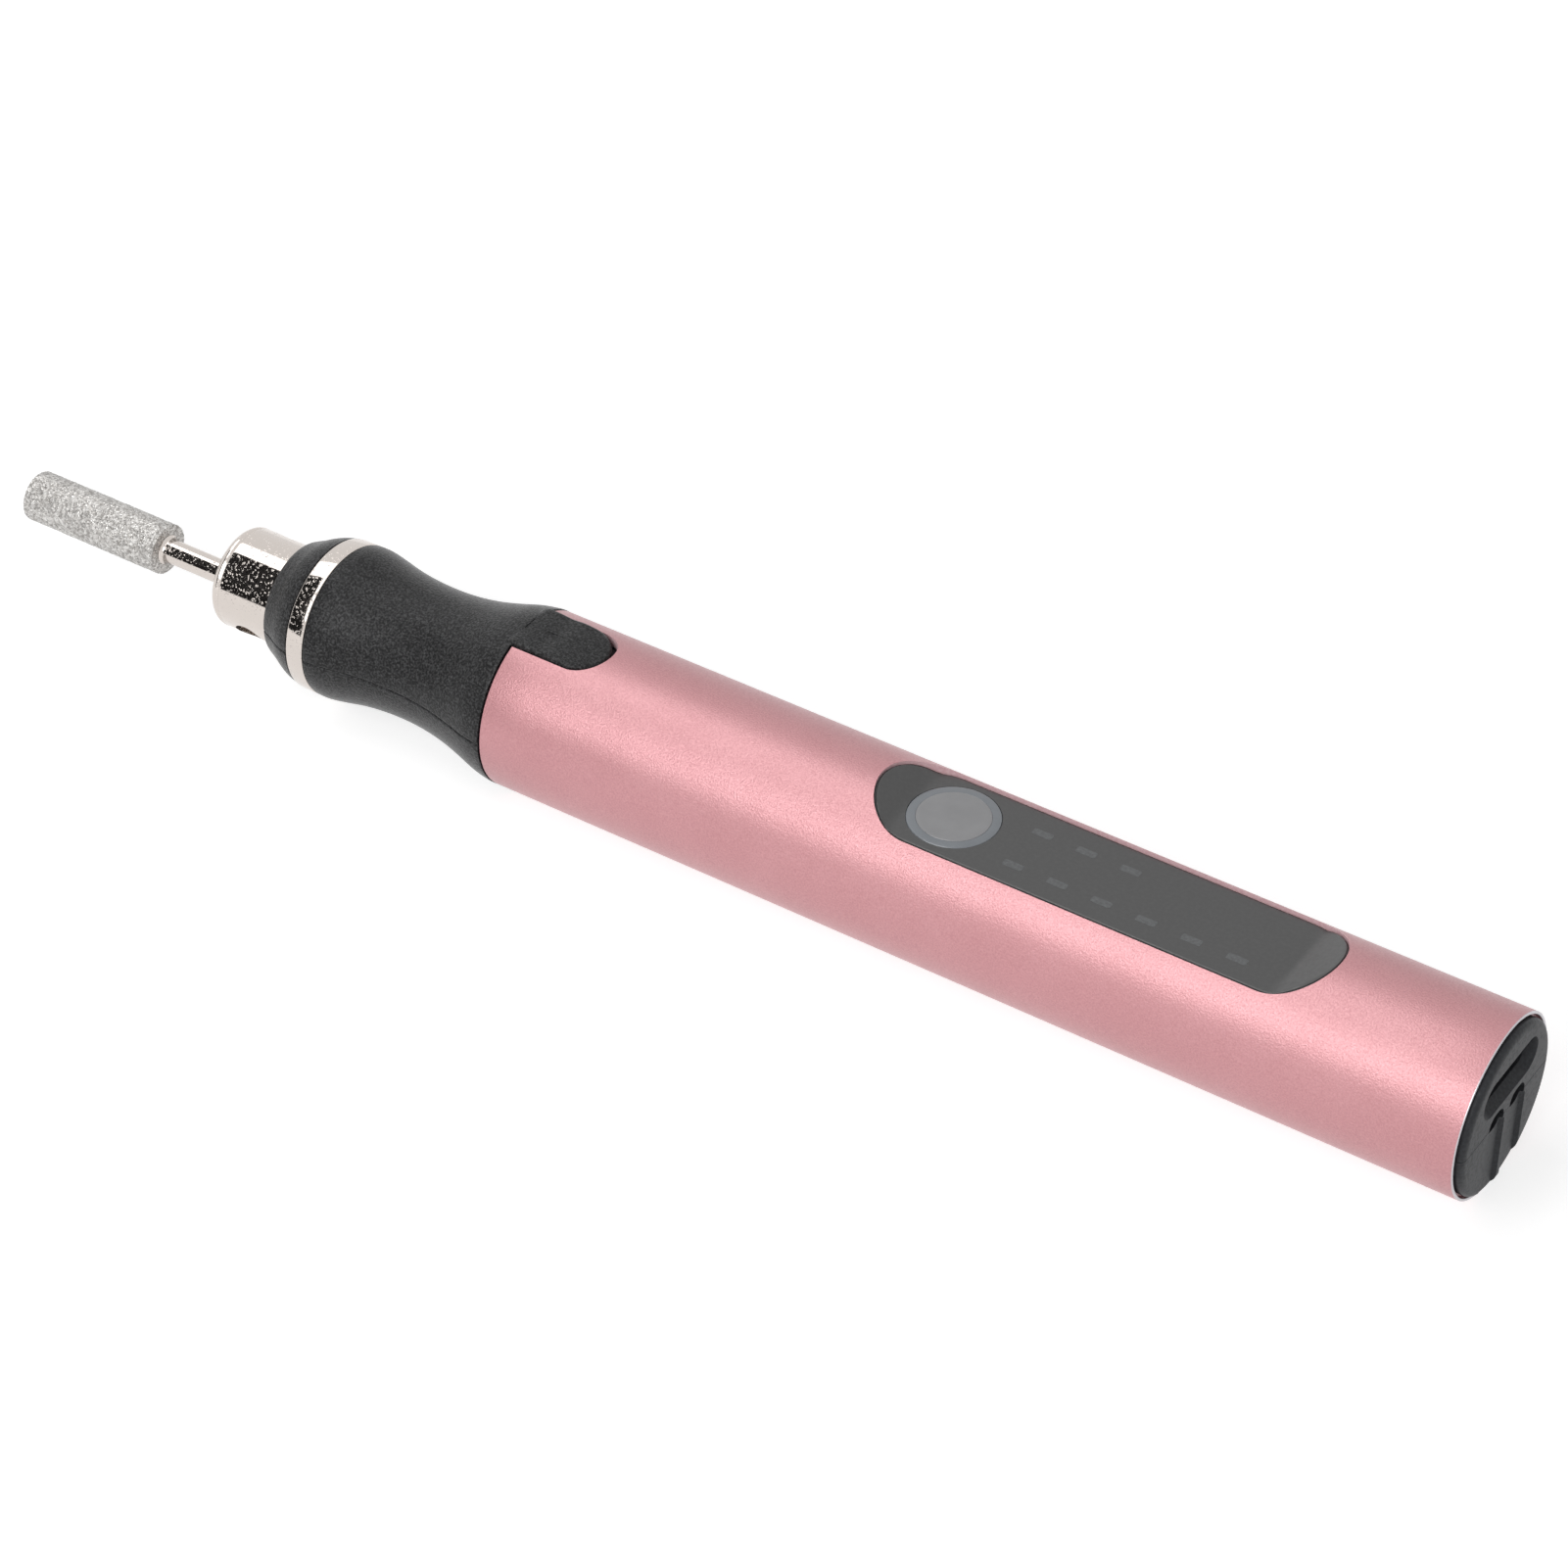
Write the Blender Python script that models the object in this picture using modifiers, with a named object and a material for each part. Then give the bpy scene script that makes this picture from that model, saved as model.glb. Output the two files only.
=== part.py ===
# Electric engraving pen: a rechargeable tube that spins a grinding bit in a screw chuck.
# The pen lies along X with its bit towards -X and the control panel facing +Z.
# Stations are distances along X, and heights are above the pen's axis.

import math

import bmesh
import bpy

mm = 0.001

# Bit
BURR_DIAMETER = 5.0 * mm
BURR_LENGTH = 15.7 * mm
BURR_ROUNDING = 0.9 * mm
BURR_SOCKET_DEPTH = 6.0 * mm
SHANK_DIAMETER = 2.35 * mm
SHANK_FREE_LENGTH = 8.52 * mm
SHANK_STOP_GAP = 0.6 * mm

# Chuck and its grub screws
CHUCK_DIAMETER = 9.85 * mm
CHUCK_LENGTH = 14.0 * mm
CHUCK_OVERHANG = 7.05 * mm
CHUCK_ROUNDING = 1.0 * mm
BIT_BORE_DIAMETER = 3.6 * mm
SCREW_DIAMETER = 2.8 * mm
SCREW_SETBACK = 3.8 * mm
SCREW_TIP_GAP = 0.35 * mm
SCREW_SINK = 1.0 * mm
SCREW_SOCKET_DIAMETER = 1.5 * mm
SCREW_SOCKET_DEPTH = 0.9 * mm
SCREW_TURN = math.radians(-52)

# Grip, split into two half shells, with its nose and ring
GRIP_LENGTH = 20.8 * mm
GRIP_SWELL_DIAMETER = 14.88 * mm
GRIP_WAIST_DIAMETER = 12.95 * mm
GRIP_SPLIT_GAP = 0.1 * mm
NOSE_LENGTH = 3.8 * mm
NOSE_LIP = 0.475 * mm
RING_WIDTH = 2.05 * mm
RING_THICKNESS = 0.6 * mm
RING_GAP = 0.12 * mm
SPIGOT_LENGTH = 17.8 * mm
SPIGOT_WALL = 1.2 * mm
TONGUE_ROOT = 1.4 * mm
TONGUE_GAP = 0.3 * mm
TONGUE_INSET = 0.15 * mm
TONGUE_SLOPE = 0.6 * mm
FRONT_SWELL_SHARES = ((0, 0.99), (0.053, 1), (0.125, 0.74), (0.22, 0.34), (0.32, 0.095), (0.42, 0))
REAR_FLARE_SHARES = ((0.51, 0.02), (0.606, 0.12), (0.7, 0.295), (0.8, 0.555), (0.894, 0.857), (0.965, 1))
NOSE_SHARES = ((0, 0), (0.22, 0.16), (0.54, 0.64), (1, 1))
TONGUE_FLAT_SHARE = 0.4

# Spindle, bearings and shaft coupling
SPINDLE_DIAMETER = 4.0 * mm
SPINDLE_GRIP = 2.8 * mm
SPINDLE_TAIL = 3.6 * mm
BEARING_DIAMETER = 9.0 * mm
BEARING_WIDTH = 4.0 * mm
BEARING_SPACING = 8.5 * mm
BEARING_LIP = 0.9 * mm
CHUCK_CLEARANCE = 0.3 * mm
BALL_COUNT = 7
RACE_SHARE = 0.27
BALL_SHARE = 0.56
CAGE_SHARE = 0.3
COUPLING_DIAMETER = 7.0 * mm
COUPLING_GRIP = 2.2 * mm
COUPLING_CLEARANCE = 1.0 * mm

# Motor
MOTOR_SETBACK = 9.8 * mm
MOTOR_LENGTH = 25.0 * mm
MOTOR_WALL = 0.5 * mm
MOTOR_SHAFT_DIAMETER = 2.0 * mm
MAGNET_SETBACK = 1.5 * mm
MAGNET_LENGTH = 13.0 * mm
MAGNET_THICKNESS = 1.2 * mm
AIR_GAP = 0.35 * mm
ARMATURE_LENGTH = 11.0 * mm
ARMATURE_SLOT = 1.1 * mm
ARMATURE_SLOT_COUNT = 3
COMMUTATOR_LENGTH = 3.0 * mm
COMMUTATOR_DIAMETER = 4.2 * mm
BRUSH_WIDTH = 1.2 * mm
BRUSH_THICKNESS = 0.4 * mm
END_BELL_THICKNESS = 2.2 * mm
TERMINAL_LENGTH = 2.4 * mm
TERMINAL_WIDTH = 1.6 * mm
TERMINAL_THICKNESS = 0.35 * mm
TERMINAL_SHARE = 0.6

# Body tube
TUBE_DIAMETER = 17.0 * mm
TUBE_WALL = 0.9 * mm
OPENING_SETBACK = 2.65 * mm
OPENING_LENGTH = 44.95 * mm
OPENING_WIDTH = 10.15 * mm
OPENING_REAR_MARGIN = 15.4 * mm
NOTCH_LENGTH = 8.75 * mm
NOTCH_WIDTH = 6.25 * mm

# Control panel, button and its light ring
PANEL_THICKNESS = 1.2 * mm
PANEL_RECESS = 0.35 * mm
PANEL_INSET = 0.3 * mm
PANEL_GAP = 0.15 * mm
PANEL_FRONT_RAMP = 2.1 * mm
PANEL_REAR_RAMP = 4.3 * mm
PANEL_POST_DIAMETER = 1.4 * mm
PANEL_POST_SHARES = ((-0.2, -0.62), (-0.2, 0.62), (0.4, -0.62), (0.4, 0.62))
BUTTON_SETBACK = 7.2 * mm
BUTTON_THICKNESS = 1.5 * mm
BUTTON_ROUNDING = 0.25 * mm
BUTTON_PROUD = 0.12 * mm
BUTTON_TRAVEL = 0.3 * mm
BUTTON_GAP = 0.12 * mm
LIGHT_RING_MARGIN = 0.735 * mm
LIGHT_RING_WIDTH = 0.72 * mm
LIGHT_RING_GAP = 0.1 * mm

# Circuit board and what it carries
BOARD_DEPTH = 3.25 * mm
BOARD_THICKNESS = 0.8 * mm
BOARD_SIDE_GAP = 1.6 * mm
BOARD_FRONT_GAP = 2.0 * mm
BOARD_REAR_GAP = 0.5 * mm
SWITCH_SIZE = 4.5 * mm
SWITCH_HEIGHT = 1.3 * mm
PLUNGER_DIAMETER = 2.0 * mm
LED_LENGTH = 1.6 * mm
LED_WIDTH = 0.8 * mm
LED_HEIGHT = 0.5 * mm
CHIP_LENGTH = 5.0 * mm
CHIP_WIDTH = 4.0 * mm
CHIP_HEIGHT = 1.1 * mm
CHARGE_CHIP_SHARE = 0.72
DRIVER_CHIP_SHARE = 0.42
SOCKET_WIDTH = 8.94 * mm
SOCKET_HEIGHT = 3.16 * mm
SOCKET_LENGTH = 5.4 * mm
SOCKET_WALL = 0.3 * mm
SOCKET_BACK_WALL = 0.8 * mm
CONTACT_WIDTH = 6.7 * mm
CONTACT_THICKNESS = 0.7 * mm

# Battery, its tabs and the leads
BATTERY_ROUNDING = 0.5 * mm
BATTERY_FRONT_GAP = 5.0 * mm
BATTERY_REAR_GAP = 7.0 * mm
BATTERY_HEADROOM = 0.4 * mm
TAB_WIDTH = 3.0 * mm
TAB_HEIGHT = 4.0 * mm
TAB_THICKNESS = 0.25 * mm
LEAD_DIAMETER = 0.8 * mm
LEAD_LANDING = 1.6 * mm
LEAD_GAP = 0.08 * mm

# Carrier in the tube and the rear cap
CARRIER_WALL = 0.7 * mm
CAP_RISE = 0.62 * mm
CAP_FLOOR = 0.6 * mm
CAP_INSET = 0.6 * mm
CAP_ROUNDING = 0.5 * mm
CAP_SPIGOT_LENGTH = 3.0 * mm
CAP_SPLIT_GAP = 0.1 * mm
SLOT_WIDTH = 9.0 * mm
SLOT_HEIGHT = 2.7 * mm
LOOP_HOLE_DIAMETER = 1.5 * mm
LOOP_HOLE_SPACING = 3.5 * mm
LOOP_GROOVE_WIDTH = 3.0 * mm
LOOP_GROOVE_DEPTH = 0.7 * mm
LOOP_HOLE_DROP = 2.3 * mm
RAIL_LAP = 0.7 * mm
RAIL_ROOT = 1.0 * mm
SADDLE_WIDTH = 1.4 * mm
SADDLE_FLOOR = 0.25 * mm
SADDLE_SHARES = (0.12, 0.5, 0.88)
SADDLE_STEPS = 11

# Shared clearances and mesh fineness
SEAT_GAP = 0.2 * mm
FIT_GAP = 0.05 * mm
OVERRUN = 1.0 * mm
MERGE = 0.001 * mm
SIDES = 28
SMALL_SIDES = 20
ARC_STEPS = 6
BALL_SIDES = 10
BALL_RINGS = 6
ROUND_SEGMENTS = 2
SHARP_ANGLE = math.radians(35)

# Stations, chained from the bit's tip to the rear cap
burr_front = 0
burr_rear = burr_front + BURR_LENGTH
chuck_front = burr_rear + SHANK_FREE_LENGTH
chuck_rear = chuck_front + CHUCK_LENGTH
spindle_front = chuck_rear - SPINDLE_GRIP
shank_rear = spindle_front - SHANK_STOP_GAP
nose_front = chuck_front + CHUCK_OVERHANG
ring_front = nose_front + NOSE_LENGTH
grip_front = ring_front + RING_WIDTH
tube_front = grip_front + GRIP_LENGTH
spigot_rear = tube_front + SPIGOT_LENGTH
cavity_rear = chuck_rear + CHUCK_CLEARANCE
front_bearing = cavity_rear + BEARING_LIP
rear_bearing = front_bearing + BEARING_WIDTH + BEARING_SPACING
spindle_rear = rear_bearing + BEARING_WIDTH + SPINDLE_TAIL
motor_front = tube_front + MOTOR_SETBACK
motor_rear = motor_front + MOTOR_LENGTH
coupling_front = spindle_rear - COUPLING_GRIP
coupling_rear = motor_front - COUPLING_CLEARANCE
opening_front = motor_rear + OPENING_SETBACK
opening_rear = opening_front + OPENING_LENGTH
opening_middle = (opening_front + opening_rear) / 2
button_station = opening_front + BUTTON_SETBACK
tube_rear = opening_rear + OPENING_REAR_MARGIN
cap_face = tube_rear + CAP_RISE
cap_base = tube_rear + FIT_GAP
cap_floor = cap_base - CAP_FLOOR
board_front = motor_rear + BOARD_FRONT_GAP
board_rear = cap_floor - BOARD_REAR_GAP
battery_front = motor_rear + BATTERY_FRONT_GAP
battery_rear = tube_rear - BATTERY_REAR_GAP

# Radii
tube_radius = TUBE_DIAMETER / 2
tube_inner = tube_radius - TUBE_WALL
spigot_radius = tube_inner - SEAT_GAP
motor_pocket = spigot_radius - SPIGOT_WALL
motor_radius = motor_pocket - SEAT_GAP
carrier_radius = spigot_radius
carrier_inner = carrier_radius - CARRIER_WALL
carrier_wall_middle = carrier_radius - CARRIER_WALL / 2
chuck_radius = CHUCK_DIAMETER / 2
cavity_radius = chuck_radius + CHUCK_CLEARANCE
nose_radius = cavity_radius + NOSE_LIP
waist_radius = GRIP_WAIST_DIAMETER / 2
swell_radius = GRIP_SWELL_DIAMETER / 2
ring_seat = swell_radius - RING_THICKNESS
bearing_radius = BEARING_DIAMETER / 2
spindle_radius = SPINDLE_DIAMETER / 2
shaft_radius = MOTOR_SHAFT_DIAMETER / 2
shank_corner = SHANK_DIAMETER / 2 / math.cos(math.pi / SMALL_SIDES)
shank_offset = BIT_BORE_DIAMETER / 2 - shank_corner - FIT_GAP
light_ring_diameter = OPENING_WIDTH - 2 * (PANEL_GAP + LIGHT_RING_MARGIN)
button_diameter = light_ring_diameter - 2 * (LIGHT_RING_WIDTH + BUTTON_GAP)

# Heights above the axis
panel_top = math.sqrt(tube_radius**2 - (OPENING_WIDTH / 2) ** 2) - PANEL_RECESS
panel_bottom = panel_top - PANEL_THICKNESS
button_top = panel_top + BUTTON_PROUD
button_bottom = button_top - BUTTON_THICKNESS
board_top = panel_bottom - BOARD_DEPTH
board_bottom = board_top - BOARD_THICKNESS
board_surface = board_top + FIT_GAP
board_half_width = math.sqrt(tube_inner**2 - board_top**2) - BOARD_SIDE_GAP
socket_height = board_surface + SOCKET_HEIGHT / 2
loop_height = socket_height - SLOT_HEIGHT / 2 - LOOP_HOLE_DROP
battery_top = board_bottom - BATTERY_HEADROOM
battery_bottom = SADDLE_FLOOR - carrier_inner
battery_radius = (battery_top - battery_bottom) / 2
battery_height = (battery_top + battery_bottom) / 2

# Finishes: colour, roughness, metallic
PINK_ANODISED = ((0.66, 0.33, 0.36), 0.35, 0.8)
BLACK_PLASTIC = ((0.04, 0.04, 0.041), 0.5, 0)
PANEL_GREY = ((0.1, 0.1, 0.1), 0.4, 0)
NICKEL_PLATE = ((0.72, 0.69, 0.66), 0.15, 1)
DIAMOND_GRIT = ((0.5, 0.49, 0.48), 0.6, 0.7)
STEEL = ((0.55, 0.55, 0.56), 0.25, 1)
BLACK_STEEL = ((0.05, 0.05, 0.05), 0.35, 0.9)
SMOKED_PLASTIC = ((0.24, 0.25, 0.27), 0.3, 0)
BRASS = ((0.7, 0.5, 0.2), 0.3, 1)
COPPER = ((0.75, 0.35, 0.2), 0.35, 1)
FERRITE = ((0.06, 0.06, 0.07), 0.7, 0)
CARBON = ((0.03, 0.03, 0.03), 0.6, 0.2)
WHITE_PLASTIC = ((0.75, 0.75, 0.72), 0.5, 0)
BOARD_GREEN = ((0.02, 0.2, 0.08), 0.45, 0)
CELL_SLEEVE = ((0.05, 0.2, 0.5), 0.4, 0)
RED_SLEEVE = ((0.6, 0.03, 0.03), 0.5, 0)
BLACK_SLEEVE = ((0.02, 0.02, 0.02), 0.5, 0)


def new_collection(name, hidden):
    collection = bpy.data.collections.new(name)
    bpy.context.scene.collection.children.link(collection)
    collection.hide_render = hidden
    return collection


def new_empty(name, parent, location):
    empty = bpy.data.objects.new(name, None)
    empty.empty_display_size = tube_radius
    pen.objects.link(empty)
    empty.parent = parent
    empty.location = location
    return empty


def dress(data, name, finish):
    """Give one sub-part its own material."""
    colour, roughness, metallic = finish
    material = bpy.data.materials.new(name + "_finish")
    material.use_nodes = True
    shader = material.node_tree.nodes["Principled BSDF"]
    shader.inputs["Base Color"].default_value = (*colour, 1)
    shader.inputs["Roughness"].default_value = roughness
    shader.inputs["Metallic"].default_value = metallic
    data.materials.clear()
    data.materials.append(material)


def place(name, data, finish, parent, location, turn=(0, 0, 0)):
    """Put a shape in the scene: a sub-part where it has a finish, otherwise a cutter."""
    part = bpy.data.objects.new(name, data)
    part.parent = parent
    part.location = location
    part.rotation_euler = turn
    if finish:
        pen.objects.link(part)
        dress(data, name, finish)
    else:
        cutters.objects.link(part)
        part.hide_render = True
        part.display_type = "WIRE"
    return part


def solid_from(drawn):
    """Turn a drawn outline into a welded mesh, shaded smooth up to its sharp edges."""
    pen.objects.link(drawn)
    solid = bpy.data.meshes.new_from_object(drawn.evaluated_get(bpy.context.evaluated_depsgraph_get()))
    solid.name = drawn.name
    bpy.data.objects.remove(drawn)
    shape = bmesh.new()
    shape.from_mesh(solid)
    bmesh.ops.remove_doubles(shape, verts=shape.verts, dist=MERGE)
    bmesh.ops.recalc_face_normals(shape, faces=shape.faces)
    return finished(solid, shape)


def finished(mesh, shape):
    shape.to_mesh(mesh)
    shape.free()
    mesh.shade_smooth()
    mesh.set_sharp_from_angle(angle=SHARP_ANGLE)
    return mesh


def turned(name, outline, finish, station=0, sides=SIDES, parent=None):
    """Turn (distance, radius) points, front to rear on their outer side, about the axis.

    Radii are across the flats, and one flat faces straight down.
    """
    widen = 1 / math.cos(math.pi / sides)
    mesh = bpy.data.meshes.new(name)
    shape = bmesh.new()
    points = [shape.verts.new((radius * widen, 0, along)) for along, radius in reversed(outline)]
    for first, second in zip(points, points[1:]):
        shape.edges.new((first, second))
    if outline[0][1] > 0:
        shape.edges.new((points[-1], points[0]))
    shape.to_mesh(mesh)
    shape.free()
    drawn = bpy.data.objects.new(name, mesh)
    screw = drawn.modifiers.new("turn", "SCREW")
    screw.steps = sides
    screw.render_steps = sides
    screw.use_merge_vertices = True
    screw.merge_threshold = MERGE
    solid = solid_from(drawn)
    flat_down = (0, 0, math.pi / sides)
    return place(name, solid, finish, parent or pen_axis, (0, 0, station), flat_down)


def ring_outline(front, rear, inner, outer):
    return [(front, outer), (rear, outer), (rear, inner), (front, inner)]


def rod_outline(front, rear, radius):
    return [(front, 0), (front, radius), (rear, radius), (rear, 0)]


def quarter_turns():
    return [math.pi / 2 * step / ARC_STEPS for step in range(ARC_STEPS + 1)]


def rounded_front(front, radius, rounding):
    """A rounded edge between a front face and the outer side."""
    return [
        (front + rounding * (1 - math.sin(turn)), radius - rounding * (1 - math.cos(turn)))
        for turn in reversed(quarter_turns())
    ]


def rounded_rear(rear, radius, rounding):
    """A rounded edge between the outer side and a rear face."""
    return [
        (rear - rounding * (1 - math.sin(turn)), radius - rounding * (1 - math.cos(turn)))
        for turn in quarter_turns()
    ]


def block(name, low, high, finish=None):
    """A box between two corners in the pen's frame."""
    mesh = bpy.data.meshes.new(name)
    shape = bmesh.new()
    bmesh.ops.create_cube(shape, size=1)
    bmesh.ops.scale(shape, vec=[b - a for a, b in zip(low, high)], verts=shape.verts)
    middle = [(a + b) / 2 for a, b in zip(low, high)]
    return place(name, finished(mesh, shape), finish, pen_frame, middle)


def disc(name, diameter, length, finish, location, turn=(0, 0, 0)):
    """A cylinder centred on a place in the pen's frame, upright before its turn."""
    mesh = bpy.data.meshes.new(name)
    shape = bmesh.new()
    radius = diameter / 2
    bmesh.ops.create_cone(
        shape, cap_ends=True, segments=SIDES, radius1=radius, radius2=radius, depth=length
    )
    return place(name, finished(mesh, shape), finish, pen_frame, location, turn)


def plate(name, points, thickness, finish, location, turn=(0, 0, 0)):
    """A flat outline given a thickness, centred on a place in the pen's frame."""
    curve = bpy.data.curves.new(name, "CURVE")
    curve.dimensions = "2D"
    curve.fill_mode = "BOTH"
    curve.extrude = thickness / 2
    spline = curve.splines.new("POLY")
    spline.points.add(len(points) - 1)
    for point, (across, up) in zip(spline.points, points):
        point.co = (across, up, 0, 1)
    spline.use_cyclic_u = True
    solid = solid_from(bpy.data.objects.new(name, curve))
    return place(name, solid, finish, pen_frame, location, turn)


def stadium(length, width):
    """A slot outline with round ends, centred on zero."""
    radius = width / 2
    reach = length / 2 - radius
    points = []
    for side in (1, -1):
        for step in range(2 * ARC_STEPS + 1):
            turn = math.pi / 2 * (step / ARC_STEPS - 1)
            points.append((side * (reach + radius * math.cos(turn)), side * radius * math.sin(turn)))
    return points


def facing_rear():
    """The turn that lays a flat outline across the pen, with its thickness along it."""
    return (math.pi / 2, 0, math.pi / 2)


def combine(part, operation, other):
    modifier = part.modifiers.new(operation.lower(), "BOOLEAN")
    modifier.operation = operation
    modifier.object = other


def cut(part, other):
    combine(part, "DIFFERENCE", other)


def join(part, other):
    combine(part, "UNION", other)


def lead(name, points, finish):
    """A soldered wire through points in the pen's frame."""
    curve = bpy.data.curves.new(name, "CURVE")
    curve.dimensions = "3D"
    curve.bevel_depth = LEAD_DIAMETER / 2
    curve.bevel_resolution = 2
    curve.use_fill_caps = True
    spline = curve.splines.new("POLY")
    spline.points.add(len(points) - 1)
    for point, spot in zip(spline.points, points):
        point.co = (*spot, 1)
    return place(name, curve, finish, pen_frame, (0, 0, 0))


def make_bit():
    radius = BURR_DIAMETER / 2
    front = rounded_front(0, radius, BURR_ROUNDING)
    rear = rounded_rear(BURR_LENGTH, radius, BURR_ROUNDING)
    outline = [(0, 0), *front, *rear, (BURR_LENGTH, 0)]
    burr = turned("burr_head", outline, DIAMOND_GRIT, burr_front, SMALL_SIDES, bit_axis)
    socket = rod_outline(burr_rear - BURR_SOCKET_DEPTH, burr_rear + OVERRUN, SHANK_DIAMETER / 2 + FIT_GAP)
    cut(burr, turned("burr_socket", socket, None, 0, SMALL_SIDES, bit_axis))
    shank_front = burr_rear - BURR_SOCKET_DEPTH + SEAT_GAP
    shank = rod_outline(0, shank_rear - shank_front, SHANK_DIAMETER / 2)
    turned("burr_shank", shank, STEEL, shank_front, SMALL_SIDES, bit_axis)


def make_chuck():
    counterbore = spindle_radius + FIT_GAP
    floor = spindle_front - SEAT_GAP - chuck_front
    bore = BIT_BORE_DIAMETER / 2
    inside = [(CHUCK_LENGTH, counterbore), (floor, counterbore), (floor, bore), (0, bore)]
    outside = rounded_front(0, chuck_radius, CHUCK_ROUNDING)
    outline = [*outside, (CHUCK_LENGTH, chuck_radius), *inside]
    chuck = turned("chuck_sleeve", outline, NICKEL_PLATE, chuck_front)
    make_set_screw(chuck, "near", 1)
    make_set_screw(chuck, "far", -1)


def make_set_screw(chuck, name, side):
    """A grub screw in one side of the chuck. The shank lies towards the near one."""
    turn = (SCREW_TURN, 0, 0)
    tip = shank_corner + side * shank_offset + SCREW_TIP_GAP
    head = chuck_radius - SCREW_SINK
    outside = chuck_radius + OVERRUN
    middle = on_screw_line(side, tip, head)
    screw = disc(name + "_set_screw", SCREW_DIAMETER, head - tip, BLACK_STEEL, middle, turn)
    floor = head - SCREW_SOCKET_DEPTH
    socket_middle = on_screw_line(side, floor, outside)
    cut(screw, disc(name + "_socket", SCREW_SOCKET_DIAMETER, outside - floor, None, socket_middle, turn))
    hole_middle = on_screw_line(side, 0, outside)
    cut(chuck, disc(name + "_screw_hole", SCREW_DIAMETER + SEAT_GAP, outside, None, hole_middle, turn))


def on_screw_line(side, low, high):
    """The middle of a stretch of the line that both grub screws lie on."""
    out = side * (low + high) / 2
    return (chuck_front + SCREW_SETBACK, out * math.sin(SCREW_TURN), -out * math.cos(SCREW_TURN))


def make_bearing(name, station):
    """A ball bearing: grooved outer and inner races, with the balls held in one cage."""
    bore = spindle_radius + FIT_GAP
    section = bearing_radius - bore
    pitch = bore + section / 2
    ball = section * BALL_SHARE / 2
    groove = ball + FIT_GAP
    middle = BEARING_WIDTH / 2
    race = section * RACE_SHARE
    groove_half = math.sqrt(groove**2 - (section / 2 - race) ** 2)
    outer_inside = bearing_radius - race
    outer = [
        (0, bearing_radius),
        (BEARING_WIDTH, bearing_radius),
        (BEARING_WIDTH, outer_inside),
        (middle + groove_half, outer_inside),
        (middle, pitch + groove),
        (middle - groove_half, outer_inside),
        (0, outer_inside),
    ]
    turned(name + "_outer_race", outer, STEEL, station)
    inner_outside = bore + race
    inner = [
        (0, inner_outside),
        (middle - groove_half, inner_outside),
        (middle, pitch - groove),
        (middle + groove_half, inner_outside),
        (BEARING_WIDTH, inner_outside),
        (BEARING_WIDTH, bore),
        (0, bore),
    ]
    turned(name + "_inner_race", inner, STEEL, station)
    rim = (outer_inside - inner_outside) * CAGE_SHARE / 2
    band = ring_outline(middle - ball, middle + ball, pitch - rim, pitch + rim)
    cage = turned(name + "_ball_cage", band, BRASS, station)
    mesh = bpy.data.meshes.new(name + "_balls")
    shape = bmesh.new()
    for count in range(BALL_COUNT):
        turn = 2 * math.pi * count / BALL_COUNT
        made = bmesh.ops.create_uvsphere(
            shape, u_segments=BALL_SIDES, v_segments=BALL_RINGS, radius=ball
        )
        spot = (pitch * math.cos(turn), pitch * math.sin(turn), middle)
        bmesh.ops.translate(shape, verts=made["verts"], vec=spot)
    balls = finished(mesh, shape)
    join(cage, place(name + "_balls", balls, None, pen_axis, (0, 0, station)))


def make_spindle():
    turned("spindle", rod_outline(0, spindle_rear - spindle_front, spindle_radius), STEEL, spindle_front)


def make_coupling():
    length = coupling_rear - coupling_front
    spindle_bore = spindle_radius + FIT_GAP
    shaft_bore = shaft_radius + FIT_GAP
    step = COUPLING_GRIP + SEAT_GAP
    outside = [(0, COUPLING_DIAMETER / 2), (length, COUPLING_DIAMETER / 2)]
    inside = [(length, shaft_bore), (step, shaft_bore), (step, spindle_bore), (0, spindle_bore)]
    turned("shaft_coupling", outside + inside, BRASS, coupling_front)


def shares_along(start, length, low, high, shares):
    """Points of an outline, from shares of a length and of a rise."""
    return [(start + length * along, low + (high - low) * up) for along, up in shares]


def grip_outline():
    """The outer side from the nose to the spigot, then the stepped hollow back to the nose."""
    outside = shares_along(nose_front, NOSE_LENGTH, nose_radius, swell_radius, NOSE_SHARES)
    groove = ring_seat - RING_GAP
    outside += [(ring_front, groove), (grip_front, groove)]
    outside += shares_along(grip_front, GRIP_LENGTH, waist_radius, swell_radius, FRONT_SWELL_SHARES)
    outside += shares_along(grip_front, GRIP_LENGTH, waist_radius, tube_radius, REAR_FLARE_SHARES)
    collar = tube_front - SEAT_GAP
    outside += [(collar, tube_radius), (collar, spigot_radius), (spigot_rear, spigot_radius)]
    pocket_front = motor_front - SEAT_GAP
    chamber = COUPLING_DIAMETER / 2 + COUPLING_CLEARANCE
    seat = bearing_radius + FIT_GAP
    passage = bearing_radius - BEARING_LIP
    rear_seat_end = rear_bearing + BEARING_WIDTH + FIT_GAP
    inside = [
        (spigot_rear, motor_pocket),
        (pocket_front, motor_pocket),
        (pocket_front, chamber),
        (rear_seat_end + BEARING_LIP, chamber),
        (rear_seat_end + BEARING_LIP, passage),
        (rear_seat_end, passage),
        (rear_seat_end, seat),
        (rear_bearing - FIT_GAP, seat),
        (rear_bearing - FIT_GAP, passage),
        (front_bearing + BEARING_WIDTH + FIT_GAP, passage),
        (front_bearing + BEARING_WIDTH + FIT_GAP, seat),
        (front_bearing - FIT_GAP, seat),
        (front_bearing - FIT_GAP, passage),
        (cavity_rear, passage),
        (cavity_rear, cavity_radius),
        (nose_front, cavity_radius),
    ]
    return outside + inside


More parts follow.
